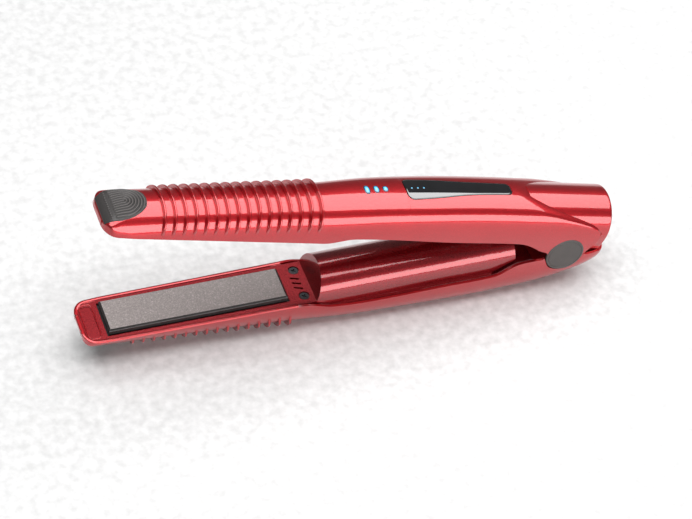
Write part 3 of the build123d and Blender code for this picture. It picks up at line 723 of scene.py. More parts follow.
@dataclass(frozen=True)
class Metal(Finish):
    """Bare or plated metal with fine turning lines."""

    def build(self, kit: NodeKit) -> None:
        """Stretched noise makes the lines in roughness and height.

        Args:
            kit: the empty material to fill.
        """
        lines = kit.noise(1500.0, 3.0, 0.6)
        color = kit.ramp(lines, [(0.3, shade(self.color, 0.85)), (0.7, shade(self.color, 1.1))])
        kit.link(color, kit.shader.inputs["Base Color"])
        kit.link(kit.spread(lines, self.roughness - 0.06, self.roughness + 0.1),
                 kit.shader.inputs["Roughness"])
        kit.set(Metallic=1.0)
        kit.bump(lines, 0.01, 0.2)


@dataclass(frozen=True)
class Lamp(Finish):
    """A lit lens: bright in its middle, deeper towards its rim."""

    glow: float = 0.3

    def build(self, kit: NodeKit) -> None:
        """The lens's own shade attribute runs from 0 at its middle to 1 at its rim.

        Args:
            kit: the empty material to fill.
        """
        color = kit.ramp(kit.stored("shade"), [
            (0.0, (0.42, 0.72, 0.88, 1.0)), (0.4, shade(self.color, 1.0)),
            (0.62, shade(self.color, 0.7)), (0.74, shade(self.color, 0.1)),
            (1.0, shade(self.color, 0.05))])
        kit.link(color, kit.shader.inputs["Base Color"])
        kit.link(color, kit.shader.inputs["Emission Color"])
        kit.link(kit.spread(kit.noise(900.0), self.roughness, self.roughness + 0.05),
                 kit.shader.inputs["Roughness"])
        kit.set(Emission_Strength=self.glow, Coat_Weight=0.6)


RED_LACQUER = Lacquer("red lacquer", (0.45, 0.010, 0.016), 0.32, metallic=0.8)
# the red lacquer made darker as painted shade, for the inner mouldings between the arms: plate
# frames, inner cover, handle trim and battery cover
SHADED_RED = Lacquer("shaded red lacquer", (0.27, 0.008, 0.013), 0.3, metallic=0.75)
CERAMIC = Speckled("speckled ceramic", (0.265, 0.232, 0.224), 0.42)
POLISHED_EDGE = Gloss("polished dark edge", (0.03, 0.027, 0.027), 0.16)
BLACK_HEATPROOF = Finish("heatproof black", (0.012, 0.012, 0.012), 0.5)
PAD_RUBBER = SoftRubber("grey rubber", (0.030, 0.026, 0.025), 0.42)
CAP_GREY = Finish("satin grey", (0.052, 0.044, 0.041), 0.42)
PIANO_BLACK = Gloss("piano black", (0.005, 0.005, 0.006), 0.05, coat_ior=2.3)
BLUE_LAMP = Lamp("blue lamp", (0.10, 0.42, 0.72), 0.12)
BLUE_DOT = Lamp("blue dot", (0.05, 0.30, 0.50), 0.12, glow=0.15)
SCREW_BLACK = Metal("black zinc", (0.045, 0.045, 0.048), 0.34)
SPRING_STEEL = Metal("spring steel", (0.55, 0.55, 0.56), 0.28)
NICKEL = Metal("nickel", (0.68, 0.66, 0.6), 0.22)
BOARD_GREEN = Gloss("solder mask", (0.01, 0.13, 0.05), 0.3, coat=0.5)
CELL_WRAP = Gloss("cell wrap", (0.02, 0.12, 0.35), 0.25)
ACETAL = Finish("acetal", (0.75, 0.74, 0.7), 0.45)
HEATER_CERAMIC = Finish("heater ceramic", (0.7, 0.68, 0.62), 0.6)
FLOOR_PALE = Finish("pale floor", (0.56, 0.56, 0.56), 0.7)


# ------------------------------------------------------------------ arms


@dataclass(frozen=True)
class BarrelSize:
    """Sizes that both arms share, in millimetres of the arm's own frame."""

    tip: float = -246.0
    plate_front: float = -232.3
    plate_rear: float = -142.3
    rim: float = 2.9
    wall: float = 1.3
    nose: tuple[tuple[float, float], ...] = ((0.0, 5.4), (1.5, 6.9), (4.0, 8.9), (8.0, 10.9),
                                             (12.0, 12.3), (18.0, 14.2), (24.0, 16.2),
                                             (34.0, 20.5), (120.0, 60.0))
    nose_blend: float = 3.2
    nose_half_width: float = 15.05
    nose_corner: float = 9.0
    plan_flare: float = 0.22
    plan_blend: float = 1.8
    plan_reach: float = 9.0
    edge_round: float = 0.9
    rib_rear: float = -141.4
    rib_pitch: float = 5.284
    rib_count: int = 16
    rib_half: float = 0.7
    rib_low: float = 1.3
    rib_high: float = 2.05
    rib_lean: float = 0.3
    rib_hook: float = 0.8
    rib_fade_front: float = 4.4
    rib_fade_rear: float = 9.4
    rib_fade_length: float = 4.2

    def plan_half(self, into: Array) -> Array:
        """Half width of the nose seen from above.

        At the distance d behind the tip it is w - c + (c^2 - (c - d)^2)^(1/2) up to the
        corner's radius c, and from there on it grows by a slow flare.

        Args:
            into: distances behind the tip.

        Returns:
            One half width for each distance.
        """
        reach = np.clip(self.nose_corner - into, 0.0, self.nose_corner)
        return (self.nose_half_width - self.nose_corner
                + np.sqrt(np.maximum(self.nose_corner**2 - reach**2, 0.0))
                + self.plan_flare * np.maximum(into - self.nose_corner, 0.0))


@dataclass(frozen=True)
class Outline:
    """A line in an arm's side view: places along the arm and heights, joined smoothly."""

    places: tuple[float, ...]
    heights: tuple[float, ...]

    def at(self, x: Array) -> Array:
        """Height at each place."""
        return smooth_curve(np.array(self.places), np.array(self.heights), x)


@dataclass(frozen=True)
class Sections:
    """Half sections along an arm, as columns of one table.

    Each row is (place, rim half width, shoulder, shoulder height, crown fullness, depth).
    """

    rows: tuple[tuple[float, ...], ...]

    def at(self, x: Array) -> tuple[Array, ...]:
        """The five section values at each place, on smooth curves."""
        table = np.array(self.rows)
        return tuple(smooth_curve(table[:, 0], table[:, column], x) for column in range(1, 6))


def barrel_row(x: float, front: float, rear: float) -> tuple[float, ...]:
    """Section of the straight barrel at x, its depth given at the plate's two ends.

    Args:
        x: the section's place.
        front: depth at the plate's front end.
        rear: depth at the plate's rear end.

    Returns:
        The row of section values.
    """
    length = BarrelSize.plate_rear - BarrelSize.plate_front
    share = (x - BarrelSize.plate_front) / length
    depth = front + (rear - front) * share
    return (x, 14.8 + 0.8 * share, 12.9 + 2.5 * share, 0.68 * depth, 8.7 + 2.3 * share, depth)


def handle_row(x: float, half: float, depth: float, fullness: float = 0.86) -> tuple[float, ...]:
    """Section of a handle at x from its half width and depth.

    Args:
        x: the section's place.
        half: half width at the rim.
        depth: depth from the plate's plane.
        fullness: how far the crown's curve reaches out, as a share of the half width.

    Returns:
        The row of section values.
    """
    return (x, half, half + 0.6, 0.68 * depth, fullness * half, depth)


BARREL_PLACES = (-250.0, -232.3, -202.3, -172.3, -142.3)
UPPER_SECTIONS = Sections(tuple(barrel_row(x, 14.1, 20.9) for x in BARREL_PLACES) + (
    handle_row(-110.1, 16.7, 24.6, 0.82), handle_row(-85.0, 17.2, 26.2),
    handle_row(-51.5, 17.3, 27.3), handle_row(-20.0, 17.3, 27.1), handle_row(18.0, 17.0, 26.3)))
LOWER_SECTIONS = Sections(tuple(barrel_row(x, 11.9, 20.5) for x in BARREL_PLACES) + (
    handle_row(-110.1, 16.7, 22.8, 0.82), handle_row(-77.3, 17.2, 23.9),
    handle_row(-32.2, 17.2, 24.6), handle_row(0.0, 17.0, 21.3), handle_row(16.0, 16.2, 15.3),
    handle_row(25.0, 14.0, 9.1)))


@dataclass(frozen=True)
class KeyShape:
    """Leaf outline of the control key seen from above, in millimetres."""

    front: float = -94.2
    rear: float = -36.2
    places: tuple[float, ...] = (-94.2, -78.2, -62.2, -36.2)
    halves: tuple[float, ...] = (6.9, 6.1, 4.6, 3.6)
    front_corner: float = 3.2
    rear_corner: float = 2.4
    gap: float = 0.35

    def half(self, x: Array, grow: float = 0.0) -> Array:
        """Half width at x, with rounded corners, or 0 beyond the ends.

        The side is a smooth curve through the halves; each end takes a quarter circle of
        radius r off it: side - r + sqrt(r^2 - (r - d)^2) at the distance d from the end.

        Args:
            x: places along the arm.
            grow: how far the outline is moved outwards.

        Returns:
            One half width for each place.
        """
        side = smooth_curve(np.array(self.places), np.array(self.halves), x) + grow
        for end, way, corner in ((self.front - grow, 1.0, self.front_corner + grow),
                                 (self.rear + grow, -1.0, self.rear_corner + grow)):
            into = (x - end) * way
            reach = np.clip(corner - into, 0.0, corner)
            side = side - corner + np.sqrt(np.maximum(corner**2 - reach**2, 0.0))
            side = np.where(into < 0.0, 0.0, side)
        return side


def arm_places(size: BarrelSize, handle: Array) -> Array:
    """Places of the grid's rows: dense over each rib and at the tip, free on the handle.

    Args:
        size: the barrel's sizes.
        handle: the rows wanted behind the ribs.

    Returns:
        Increasing places along the arm.
    """
    nose = size.tip + size.edge_round * (1 - np.cos(np.linspace(0, math.pi / 2, 6)))
    corner = np.linspace(size.tip + size.edge_round, size.tip + size.nose_corner, 16)[1:]
    front = np.linspace(size.tip + size.nose_corner, size.rib_rear - size.rib_pitch
                        * (size.rib_count - 0.5), 18)[1:]
    centres = size.rib_rear - size.rib_pitch * np.arange(size.rib_count)[::-1]
    across = np.array([-2.2, -1.6, -1.15, -0.92, -0.8, -0.74, -0.66, -0.5, -0.3, -0.1,
                       0.1, 0.3, 0.5, 0.66, 0.74, 0.8, 0.92, 1.15, 1.6, 2.2])
    ribs = (centres[:, None] + across[None, :]).ravel()
    return np.concatenate([nose, corner, front, ribs[ribs > front[-1] + 0.05], handle])


@dataclass
class ArmShell:
    """The red shell of one arm: ribbed barrel, sloping nose and smooth handle.

    Each row of the grid is a half section, a straight side below the rim line and then the
    cubic curve B(t) from the rim (w, r) over (s, k) and (c, d) to the crown (0, d).
    """

    arm: Arm
    sections: Sections
    low: Outline
    high: Outline
    handle_rows: Array
    key: KeyShape | None = None
    stands: bool = False
    dome: tuple[float, float] | None = None
    size: BarrelSize = field(default_factory=BarrelSize)
    columns: int = 30

    def section_table(self, x: Array) -> tuple[Array, Array]:
        """Dense half sections at each place, from below the rim line up to the crown.

        Args:
            x: places along the arm.

        Returns:
            y and z, each one row of points for each place.
        """
        rim, shoulder, shoulder_height, crown, depth = (v[:, None] for v in self.sections.at(x))
        t = np.linspace(0.0, 1.0, 120)[None, :]
        a, b, c, d = (1 - t)**3, 3 * t * (1 - t)**2, 3 * t * t * (1 - t), t**3
        y = a * rim + b * shoulder + c * crown
        z = a * self.size.rim + b * shoulder_height + (c + d) * depth
        side = np.linspace(-12.0, self.size.rim, 24)[None, :-1]
        y = np.concatenate([np.repeat(rim, 23, axis=1), y], axis=1)
        z = np.concatenate([np.repeat(side, len(x), axis=0), z], axis=1)
        return y, z

    def rib_field(self, x: Array, z: Array) -> tuple[Array, Array]:
        """Height of the ribs over the shell, and how far each point leans to the tip.

        A rib of half thickness b is h (1 - (u / b)^4)^(1/2) at the distance u from its
        middle, times a rise from 0 to 1 over a few millimetres of height z.

        Args:
            x: places along the arm.
            z: height of each point, one row for each place.

        Returns:
            The height and the lean, in the same rows.
        """
        size = self.size
        index = np.clip(np.round((size.rib_rear - x) / size.rib_pitch), 0, size.rib_count - 1)
        offset = (x - size.rib_rear + index * size.rib_pitch) / size.rib_half
        share = 1.0 - index / (size.rib_count - 1)
        height = size.rib_low + share * (size.rib_high - size.rib_low)
        fade = size.rib_fade_front + share * (size.rib_fade_rear - size.rib_fade_front)
        fade = fade[:, None]
        bump = np.sqrt(np.clip(1.0 - offset**4, 0.0, 1.0)) * height
        rise = smooth_step(fade, fade + size.rib_fade_length, z)
        near = np.clip(1.0 - (np.abs(offset) - 1.0) / 1.8, 0.0, 1.0)[:, None]
        lean = near * (size.rib_hook * (1.0 - smooth_step(fade - 1.0, fade + 6.0, z))
                       + size.rib_lean * rise * bump[:, None])
        inside = ((x > size.rib_rear - size.rib_pitch * (size.rib_count - 0.5))
                  & (x < size.rib_rear + 2.2))[:, None]
        return bump[:, None] * rise * inside, lean * inside

    def nose_height(self, into: Array) -> Array:
        """Height of the nose's top line at a distance behind the tip."""
        table = np.array(self.size.nose)
        return smooth_curve(table[:, 0], table[:, 1], into)

    def top_height(self, x: Array, y: Array) -> Array:
        """Height of the shell's crown or nose over (x, y), without its ribs.

        Args:
            x: places along the arm.
            y: distances across, one row for each place.

        Returns:
            Heights in the same rows.
        """
        nose = self.nose_height(x - self.size.tip)[:, None]
        return soft_min(crown_height(self.sections, x, y), nose, self.size.nose_blend)

    def half(self, x: Array) -> Array:
        """Points of the half with positive y, (rows, columns, 3).

        Args:
            x: places along the arm.

        Returns:
            The points.
        """
        size = self.size
        y, z = self.section_table(x)
        into = x - size.tip
        edge = size.edge_round
        tuck = edge - np.sqrt(np.maximum(edge**2 - np.clip(edge - into, 0.0, edge)**2, 0.0))
        low = self.low.at(x)
        start = row_lookup(z, low)
        width = np.zeros_like(x) if self.key is None else self.key.half(x, self.key.gap)
        end = row_lookup(-y, -np.maximum(width, 1e-6))
        share = np.linspace(0.0, 1.0, self.columns)[None, :]
        at = start[:, None] + share * (end - start)[:, None]
        below = np.floor(at).astype(int).clip(0, y.shape[1] - 2)
        part = at - below
        rows = np.arange(len(x))[:, None]
        y = y[rows, below] * (1 - part) + y[rows, below + 1] * part
        z = z[rows, below] * (1 - part) + z[rows, below + 1] * part
        bump, lean = self.rib_field(x, z)
        along = np.gradient(y, axis=1), np.gradient(z, axis=1)
        length = np.maximum(np.hypot(*along), 1e-9)
        y = y + bump * along[1] / length
        z = z - bump * along[0] / length
        y[:, -1] = width
        # the nose: its slope above, its rounded outline from above, its rounded edges
        z = soft_min(z, (self.nose_height(into) - tuck)[:, None], size.nose_blend)
        plan = (size.plan_half(into) - tuck)[:, None]
        y = np.where(into[:, None] < size.nose_corner + size.plan_reach,
                     soft_min(y, plan, size.plan_blend), y)
        z = soft_min(z, self.high.at(x)[:, None], 3.0)
        if self.stands:
            z = soft_min(z, ArmFrame.of(self.arm).ground(x)[:, None], 1.0)
        z = np.maximum(z, low[:, None])
        if self.dome is not None:
            first, last = self.dome
            gone = np.clip((x - first) / (last - first), 0.0, 1.0)
            y = y * np.cbrt(1.0 - gone**3)[:, None]
            z = low[:, None] + (z - low[:, None]) * np.sqrt(1.0 - gone**2)[:, None]
        return np.stack([np.broadcast_to(x[:, None], y.shape) - lean, y, z], axis=-1)

    def build(self, finish: Finish) -> bpy.types.Object:
        """Make the shell in place, close its tip and give it its wall.

        Args:
            finish: the shell's finish.

        Returns:
            The shell, riding on its arm.
        """
        x = arm_places(self.size, self.handle_rows)
        half = self.half(x)
        front = np.repeat(half[:1], 3, axis=0)
        front[:, :, 2] = (self.low.at(x[:1]) + (front[:, :, 2] - self.low.at(x[:1]))
                          * np.array([0.0, 0.33, 0.66])[:, None])
        half = np.concatenate([front, half])
        other = half * np.array([1.0, -1.0, 1.0])
        faces = grid_faces(half.shape[0], half.shape[1])
        points = np.concatenate([half.reshape(-1, 3), other.reshape(-1, 3)])
        both = np.concatenate([faces, faces[:, ::-1] + half.shape[0] * half.shape[1]])
        place = ArmFrame.of(self.arm).place
        name = f"{self.arm.name.lower()}_arm_shell"
        piece = make_piece(name, place(points), both, finish, merge=4e-6, smooth_angle=48.0)
        turn_outward(piece)
        thicken(piece, self.size.wall)
        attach(piece, self.arm.value)
        return piece


@dataclass(frozen=True)
class TailTube:
    """The round tail behind the lobe: a tube about its own axis, cut flat underneath."""

    radius: float = 15.6
    axis_height: float = 11.4
    flat: float = -2.0
    foot: float = 13.2
    front: float = -26.0
    front_slope: float = 13.0
    end: float = 20.5
    edge: float = 0.9
    lip: float = 0.7
    wall: float = 1.0

    def build(self, finish: Finish) -> bpy.types.Object:
        """Make the tube.

        A point is (x, r w sin a, c - r cos a), a running from one edge of the flat to the
        other; w widens the part below the axis so that its sides stand nearly upright. The
        front edge slopes back towards the flat, which leaves room for the closing arm.

        Args:
            finish: the tail's finish.

        Returns:
            The tube, riding on the upper arm.
        """
        start = math.acos((self.axis_height - self.flat) / self.radius)
        angle = np.linspace(start, 2 * math.pi - start, 110)
        below = np.clip(np.cos(angle) / math.cos(start), 0.0, 1.0)
        upright = self.radius + (self.foot - self.radius) * below**1.6
        widen = np.where(below > 0.0, upright / (self.radius * np.abs(np.sin(angle))), 1.0)
        turn = np.linspace(0.0, math.pi / 2, 7)[1:]
        x = np.concatenate([np.linspace(self.front, self.end - self.edge, 40),
                            self.end - self.edge + self.edge * np.sin(turn),
                            [self.end - 0.1, self.end - 1.2]])
        radius = np.concatenate([np.full(40, self.radius),
                                 self.radius - self.edge + self.edge * np.cos(turn),
                                 [self.radius - self.edge - self.lip,
                                  self.radius - self.edge - self.lip - 0.05]])
        slope = np.sqrt(below)[None, :] * np.clip(x / self.front, 0.0, 1.0)[:, None]
        points = np.stack([x[:, None] + self.front_slope * slope,
                           radius[:, None] * (widen * np.sin(angle))[None, :],
                           self.axis_height - radius[:, None] * np.cos(angle)[None, :]], axis=-1)
        place = ArmFrame.of(Arm.UPPER).place
        piece = make_piece("upper_tail_tube", place(points),
                           grid_faces(*points.shape[:2]), finish, smooth_angle=60.0)
        turn_outward(piece)
        thicken(piece, self.wall)
        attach(piece, Arm.UPPER.value)
        return piece


@dataclass(frozen=True)
class TipPad:
    """Rubber pad on the rounded tip, with nested grip ridges open towards the tip."""

    arm: Arm
    into: tuple[float, ...] = (0.0, 0.9, 3.0, 5.5, 9.5, 13.5, 16.8, 18.8, 20.2, 20.9)
    halves: tuple[float, ...] = (8.6, 9.1, 9.9, 10.3, 10.0, 9.0, 7.4, 5.7, 3.7, 0.0)
    border: float = 0.35
    proud: float = 0.3
    ridge: float = 0.5
    pitch: float = 1.42
    bend: float = 11.2
    dot_row: float = 2.9
    dot_radius: float = 0.36
    dot_high: float = 0.3
    sunk: float = 0.4
    samples: int = 180

    def build(self, finish: Finish) -> bpy.types.Object:
        """Make the pad as a height field over the shell's own top.

        Its lift is its own thickness at a rounded edge, plus half a cosine of the distance
        to a U whose legs run to the tip, plus a row of small domes in front of the ridges.

        Args:
            finish: the pad's finish, which reads its ridge attribute and from it paints shade in
                the grooves and a highlight on the crests and domes.

        Returns:
            The pad, riding on its arm and standing for the arm's CAD pad.
        """
        shell = SHELLS[self.arm]
        count = self.samples
        length = self.into[-1]
        even = np.linspace(0.0, 1.0, count)
        into = length * (0.6 * even + 0.4 * (0.5 - 0.5 * np.cos(math.pi * even)))
        edge = (0.6 * smooth_curve(np.array(self.into), np.array(self.halves), into)
                + 0.4 * np.interp(into, self.into, self.halves))
        edge = np.maximum(edge, 0.0)
        x = shell.size.tip + self.border + into
        across = np.linspace(-1.0, 1.0, count)
        across = 0.6 * across + 0.4 * np.sin(across * math.pi / 2)
        y = edge[:, None] * across[None, :]
        along = np.repeat(into[:, None], count, axis=1)
        distance = np.hypot(np.maximum(along - (length - self.bend), 0.0) * 1.02, y)
        wave = 0.5 + 0.5 * np.cos(2 * math.pi * distance / self.pitch)
        from_edge = np.minimum(edge[:, None] - np.abs(y), np.minimum(along, length - along))
        margin = smooth_step(0.5, 1.1, from_edge) * smooth_step(4.2, 5.0, along)
        rim = np.clip(from_edge / 0.4, 0.0, 1.0)
        soft = np.sqrt(rim * (2.0 - rim))
        nearest = (np.round(y / self.pitch - 0.5) + 0.5) * self.pitch
        gap = np.hypot(along - self.dot_row, y - nearest) / self.dot_radius
        dots = np.sqrt(np.clip(1.0 - gap**2, 0.0, 1.0)) * smooth_step(0.4, 0.9, from_edge)
        lift = (self.proud * soft + self.ridge * wave * margin + self.dot_high * dots
                - self.sunk * (1 - soft))
        points = np.stack([np.repeat(x[:, None], count, axis=1), y,
                           shell.top_height(x, y) + lift], axis=-1)
        frame_of = ArmFrame.of(self.arm)
        piece = make_piece(f"{self.arm.name.lower()}_grip_pad",
                           frame_of.place(points).reshape(-1, 3), grid_faces(count, count),
                           finish, smooth_angle=70.0)
        # painted shade and highlight: 0 in the grooves paints shade, 1 on the crests and domes
        # paints a highlight, and the edge keeps an even 0.45
        painted_shade_and_highlight = 0.45 + (wave**1.3 - 0.45) * margin
        store_value(piece, "ridge", np.maximum(painted_shade_and_highlight, dots))
        face_along(piece, frame_of.outward)
        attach(piece, self.arm.value)
        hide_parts(f"{self.arm.name.lower()}_tip_pad")
        return piece


@dataclass(frozen=True)
class RimRoll:
    """The rolled edge of a barrel's rim, and the fine bead round its nose panel."""

    arm: Arm
    rear: float = -138.6
    width: float = 2.1
    high: float = 0.5
    bead_width: float = 0.55
    bead_high: float = 0.22
    inset: float = 0.04
    lift: float = 0.03
    panel_front: float = 2.7
    panel_rear: float = 9.6
    panel_half: float = 11.4

    def outline(self) -> Array:
        """The rim's outline from above, from the near rear round the tip to the far rear.

        Returns:
            (n, 2) places.
        """
        shell = SHELLS[self.arm]
        size = shell.size
        turn = np.linspace(0.0, math.pi / 2, 24)
        into = np.concatenate([size.nose_corner * (1.0 - np.sin(turn[::-1])),
                               np.linspace(size.nose_corner, self.rear - size.tip, 90)[1:]])
        x = size.tip + into
        y = soft_min(shell.sections.at(x)[0], size.plan_half(into), size.plan_blend)
        front = np.linspace(-1.0, 1.0, 13)[1:-1] * y[0]
        return np.concatenate([np.stack([x, y], axis=1)[::-1],
                               np.stack([np.full(11, x[0]), -front], axis=1),
                               np.stack([x, -y], axis=1)])

    def panel(self) -> Array:
        """The nose panel's outline, a closed superellipse of power five.

        Returns:
            (n, 2) places.
        """
        turn = np.linspace(0.0, 2 * math.pi, 120, endpoint=False)
        power = 2.0 / 5.0
        tip = SHELLS[self.arm].size.tip
        middle = tip + (self.panel_front + self.panel_rear) / 2
        reach = (self.panel_rear - self.panel_front) / 2
        x = middle + reach * np.sign(np.cos(turn)) * np.abs(np.cos(turn))**power
        y = self.panel_half * np.sign(np.sin(turn)) * np.abs(np.sin(turn))**power
        return np.stack([x, y], axis=1)

    def sweep(self, name: str, path: Array, width: float, high: float, closed: bool
              ) -> bpy.types.Object:
        """A low round bead carried along a path on the rim.

        A point is (p + n a, l - h sin t) with a = w (1 - cos t) / 2; n is the path's inward
        normal, l the rim's height and t runs from 0 to pi.

        Args:
            name: the bead's name, without its arm.
            path: (n, 2) places of the bead's outer foot.
            width: the bead's width.
            high: its height.
            closed: whether the path's end joins its start.

        Returns:
            The bead, riding on the arm.
        """
        along = np.roll(path, -1, axis=0) - np.roll(path, 1, axis=0)
        if not closed:
            along = np.gradient(path, axis=0)
        along = along / np.maximum(np.linalg.norm(along, axis=1, keepdims=True), 1e-9)
        inward = np.stack([-along[:, 1], along[:, 0]], axis=1)
        if ((path.mean(axis=0) - path) * inward).sum() < 0.0:
            inward = -inward
        turn = np.linspace(0.0, math.pi, 11)[:, None]
        across = self.inset + width * (1.0 - np.cos(turn)) / 2
        flat = path[None] + inward[None] * across[..., None]
        height = SHELLS[self.arm].size.rim + self.lift - high * np.sin(turn)
        points = np.concatenate([flat, np.broadcast_to(height, flat.shape[:2])[..., None]], axis=-1)
        frame_of = ArmFrame.of(self.arm)
        piece = make_piece(f"{self.arm.name.lower()}_{name}", frame_of.place(points),
                           grid_faces(*flat.shape[:2], close=closed), RED_LACQUER,
                           smooth_angle=60.0)
        face_along(piece, -frame_of.outward)
        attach(piece, self.arm.value)
        return piece

    def build(self) -> list[bpy.types.Object]:
        """Make the roll and the bead.

        Returns:
            Both pieces.
        """
        return [self.sweep("rim_roll", self.outline(), self.width, self.high, closed=False),
                self.sweep("nose_bead", self.panel(), self.bead_width, self.bead_high,
                           closed=True)]


@dataclass(frozen=True)
class CrownPiece:
    """A thin piece that follows the upper crown, such as the control key."""

    shape: KeyShape
    proud: float
    depth: float
    rounding: float = 0.5
    rows: int = 130
    columns: int = 41

    def build(self, name: str, finish: Finish, body: str, node: str) -> bpy.types.Object:
        """Make the piece as a height field over the crown, given a thickness inwards.

        Its height is the crown's, plus how far it stands proud, less e (1 - (1 - g^2)^(1/2))
        near the outline, with e the rounding and g the share of it left to the edge.

        Args:
            name: the piece's name.
            finish: its finish.
            body: the CAD body that it rides on.
            node: the CAD node that it stands for.

        Returns:
            The piece.
        """
        front, rear = self.shape.front, self.shape.rear
        turn = np.linspace(0, math.pi, self.rows)
        x = 0.5 * (front + rear) - 0.5 * (rear - front) * np.cos(turn)
        half = np.maximum(self.shape.half(x), 0.0)
        across = np.sin(np.linspace(-math.pi / 2, math.pi / 2, self.columns))
        y = half[:, None] * across[None, :]
        z = crown_height(UPPER_SECTIONS, x, y)
        gap = np.minimum(half[:, None] - np.abs(y),
                         np.minimum(x - front, rear - x)[:, None])
        fall = 1.0 - np.sqrt(np.clip(1 - (1 - np.clip(gap / self.rounding, 0, 1))**2, 0, 1))
        z = z + self.proud - fall * self.rounding
        top = np.stack([np.repeat(x[:, None], self.columns, axis=1), y, z], axis=-1)
        frame_of = ArmFrame.of(Arm.UPPER)
        piece = make_piece(name, frame_of.place(top), grid_faces(self.rows, self.columns),
                           finish, merge=1e-6, smooth_angle=70.0)
        face_along(piece, frame_of.outward)
        thicken(piece, self.depth)
        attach(piece, body)
        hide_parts(node)
        return piece


def crown_height(sections: Sections, x: Array, y: Array) -> Array:
    """Height of an arm's crown over (x, y), by finding y on each place's section curve.

    Args:
        sections: the arm's sections.
        x: places along the arm.
        y: distances across, one row for each place.

    Returns:
        Heights in the same rows.
    """
    rim, shoulder, shoulder_height, crown, depth = (v[:, None] for v in sections.at(x))
    t = np.linspace(0.35, 1.0, 400)[None, :]
    a, b, c, d = (1 - t)**3, 3 * t * (1 - t)**2, 3 * t * t * (1 - t), t**3
    y_tab = a * rim + b * shoulder + c * crown
    z_tab = a * BarrelSize.rim + b * shoulder_height + (c + d) * depth
    index = (y_tab[:, None, :] > np.abs(y)[:, :, None]).sum(axis=2).clip(1, 399)
    rows = np.arange(len(x))[:, None]
    high, low = y_tab[rows, index - 1], y_tab[rows, index]
    share = np.clip((high - np.abs(y)) / np.maximum(high - low, 1e-9), 0.0, 1.0)
    return z_tab[rows, index - 1] * (1 - share) + z_tab[rows, index] * share


@dataclass(frozen=True)
class OvalLens:
    """An oval lens that stands on the upper crown, longer across the arm than along it."""

    name: str
    place: float
    length: float
    width: float
    proud: float
    rise: float
    skirt: float = 0.35
    rings: int = 14
    spokes: int = 48

    def build(self, finish: Finish, body: str) -> bpy.types.Object:
        """Make the lens from rings of a squared ellipse.

        At the share s of its radius it stands proud by p + r (1 - s^2)^(1/2), and its last
        ring folds down into the shell.

        Args:
            finish: the lens's finish, which reads its shade attribute, 0 in the middle and 1
                at the rim.
            body: the CAD body that it rides on.

        Returns:
            The lens.
        """
        ring = np.linspace(0.0, 1.0, self.rings)[:, None]
        angle = np.linspace(0.0, 2 * math.pi, self.spokes, endpoint=False)[None, :]
        along, across = (np.sign(v) * np.abs(v)**0.8 for v in (np.cos(angle), np.sin(angle)))
        x = self.place + ring * self.width / 2 * along
        y = ring * self.length / 2 * across
        z = crown_height(UPPER_SECTIONS, x.ravel(), y.reshape(-1, 1)).reshape(x.shape)
        z = z + self.proud + self.rise * np.sqrt(1 - ring**2) - self.skirt * (ring == 1.0)
        frame_of = ArmFrame.of(Arm.UPPER)
        piece = make_piece(self.name, frame_of.place(np.stack([x, y, z], axis=-1)),
                           grid_faces(self.rings, self.spokes, close=True), finish,
                           smooth_angle=70.0)
        face_along(piece, frame_of.outward)
        store_value(piece, "shade", np.repeat(ring, self.spokes, axis=1))
        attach(piece, body)
        return piece


def handle_places(spans: tuple[tuple[float, float, int], ...], end: float, reach: float,
                  count: int) -> Array:
    """Rows behind the ribs: even spans, and then rows that crowd towards the end.

    Args:
        spans: (first, last, number of rows) of each even span.
        end: the last place.
        reach: the length over which the rows crowd.
        count: the number of crowding rows.

    Returns:
        Increasing places along the handle.
    """
    even = [np.linspace(first, last, number, endpoint=False) for first, last, number in spans]
    crowd = end - reach + reach * np.sin(np.linspace(0.0, math.pi / 2, count))
    return np.concatenate([*even, crowd])


def key_rows(key: KeyShape) -> Array:
    """Rows along the key's opening: crowded at its two rounded ends and even between.

    Args:
        key: the key's outline.

    Returns:
        Increasing places along the handle.
    """
    front, rear = key.front - key.gap, key.rear + key.gap
    turn = np.linspace(0.0, math.pi / 2, 12)[1:]
    return np.concatenate([[front], front + 3.5 * (1.0 - np.cos(turn)),
                           np.linspace(front + 3.55, rear - 2.75, 40)[1:],
                           rear - 2.7 * (1.0 - np.sin(turn)), [rear + 0.01]])


KEY_SHAPE = KeyShape()
UPPER_SHELL = ArmShell(
    Arm.UPPER, UPPER_SECTIONS,
    low=Outline((-250.0, -190.0, -137.5, -136.0, -133.0, -128.0, -123.0, -120.5, -119.0, -60.0,
                 -32.0, -29.0, -25.0, -21.0, -17.0, -13.5, -11.7, -9.7, -9.4, -8.6, -6.9, -3.7,
                 0.0, 3.7, 6.9, 8.6, 9.4, 10.4, 11.3, 13.0, 14.4, 15.1, 15.4),
                (2.9, 2.9, 2.9, 2.92, 3.2, 4.6, 6.2, 6.68, 6.8, 6.8,
                 6.8, 6.7, 6.05, 4.6, 2.7, 1.35, 0.95, -1.2, -2.4, -4.5, -6.8, -8.97,
                 -9.7, -8.97, -6.8, -4.5, -2.5, 0.2, 2.2, 5.4, 8.7, 11.2, 13.4)),
    high=Outline((-250.0, -70.0, -46.0, -34.0, -25.0, -16.0, -6.0, 4.0, 11.0, 14.2, 15.4),
                 (70.0, 70.0, 38.0, 30.6, 27.4, 24.8, 22.2, 19.7, 17.3, 15.2, 13.5)),
    handle_rows=np.concatenate([
        handle_places(((-136.9, -118.0, 18), (-118.0, -94.8, 16)), -94.56, 0.2, 2),
        key_rows(KEY_SHAPE),
        handle_places(((-35.0, -12.0, 18), (-12.0, -9.7, 4), (-9.7, -8.7, 5), (-8.7, 7.4, 18)),
                      15.4, 8.0, 26)]),
    key=KEY_SHAPE,
    size=BarrelSize(tip=-247.8, rib_rear=-139.9, rib_low=1.65, rib_high=2.1, nose=(
        (0.0, 5.4), (1.5, 7.3), (4.0, 9.8), (8.0, 12.2), (12.0, 13.9), (18.0, 15.8),
        (24.0, 17.8), (34.0, 22.0), (120.0, 62.0))))
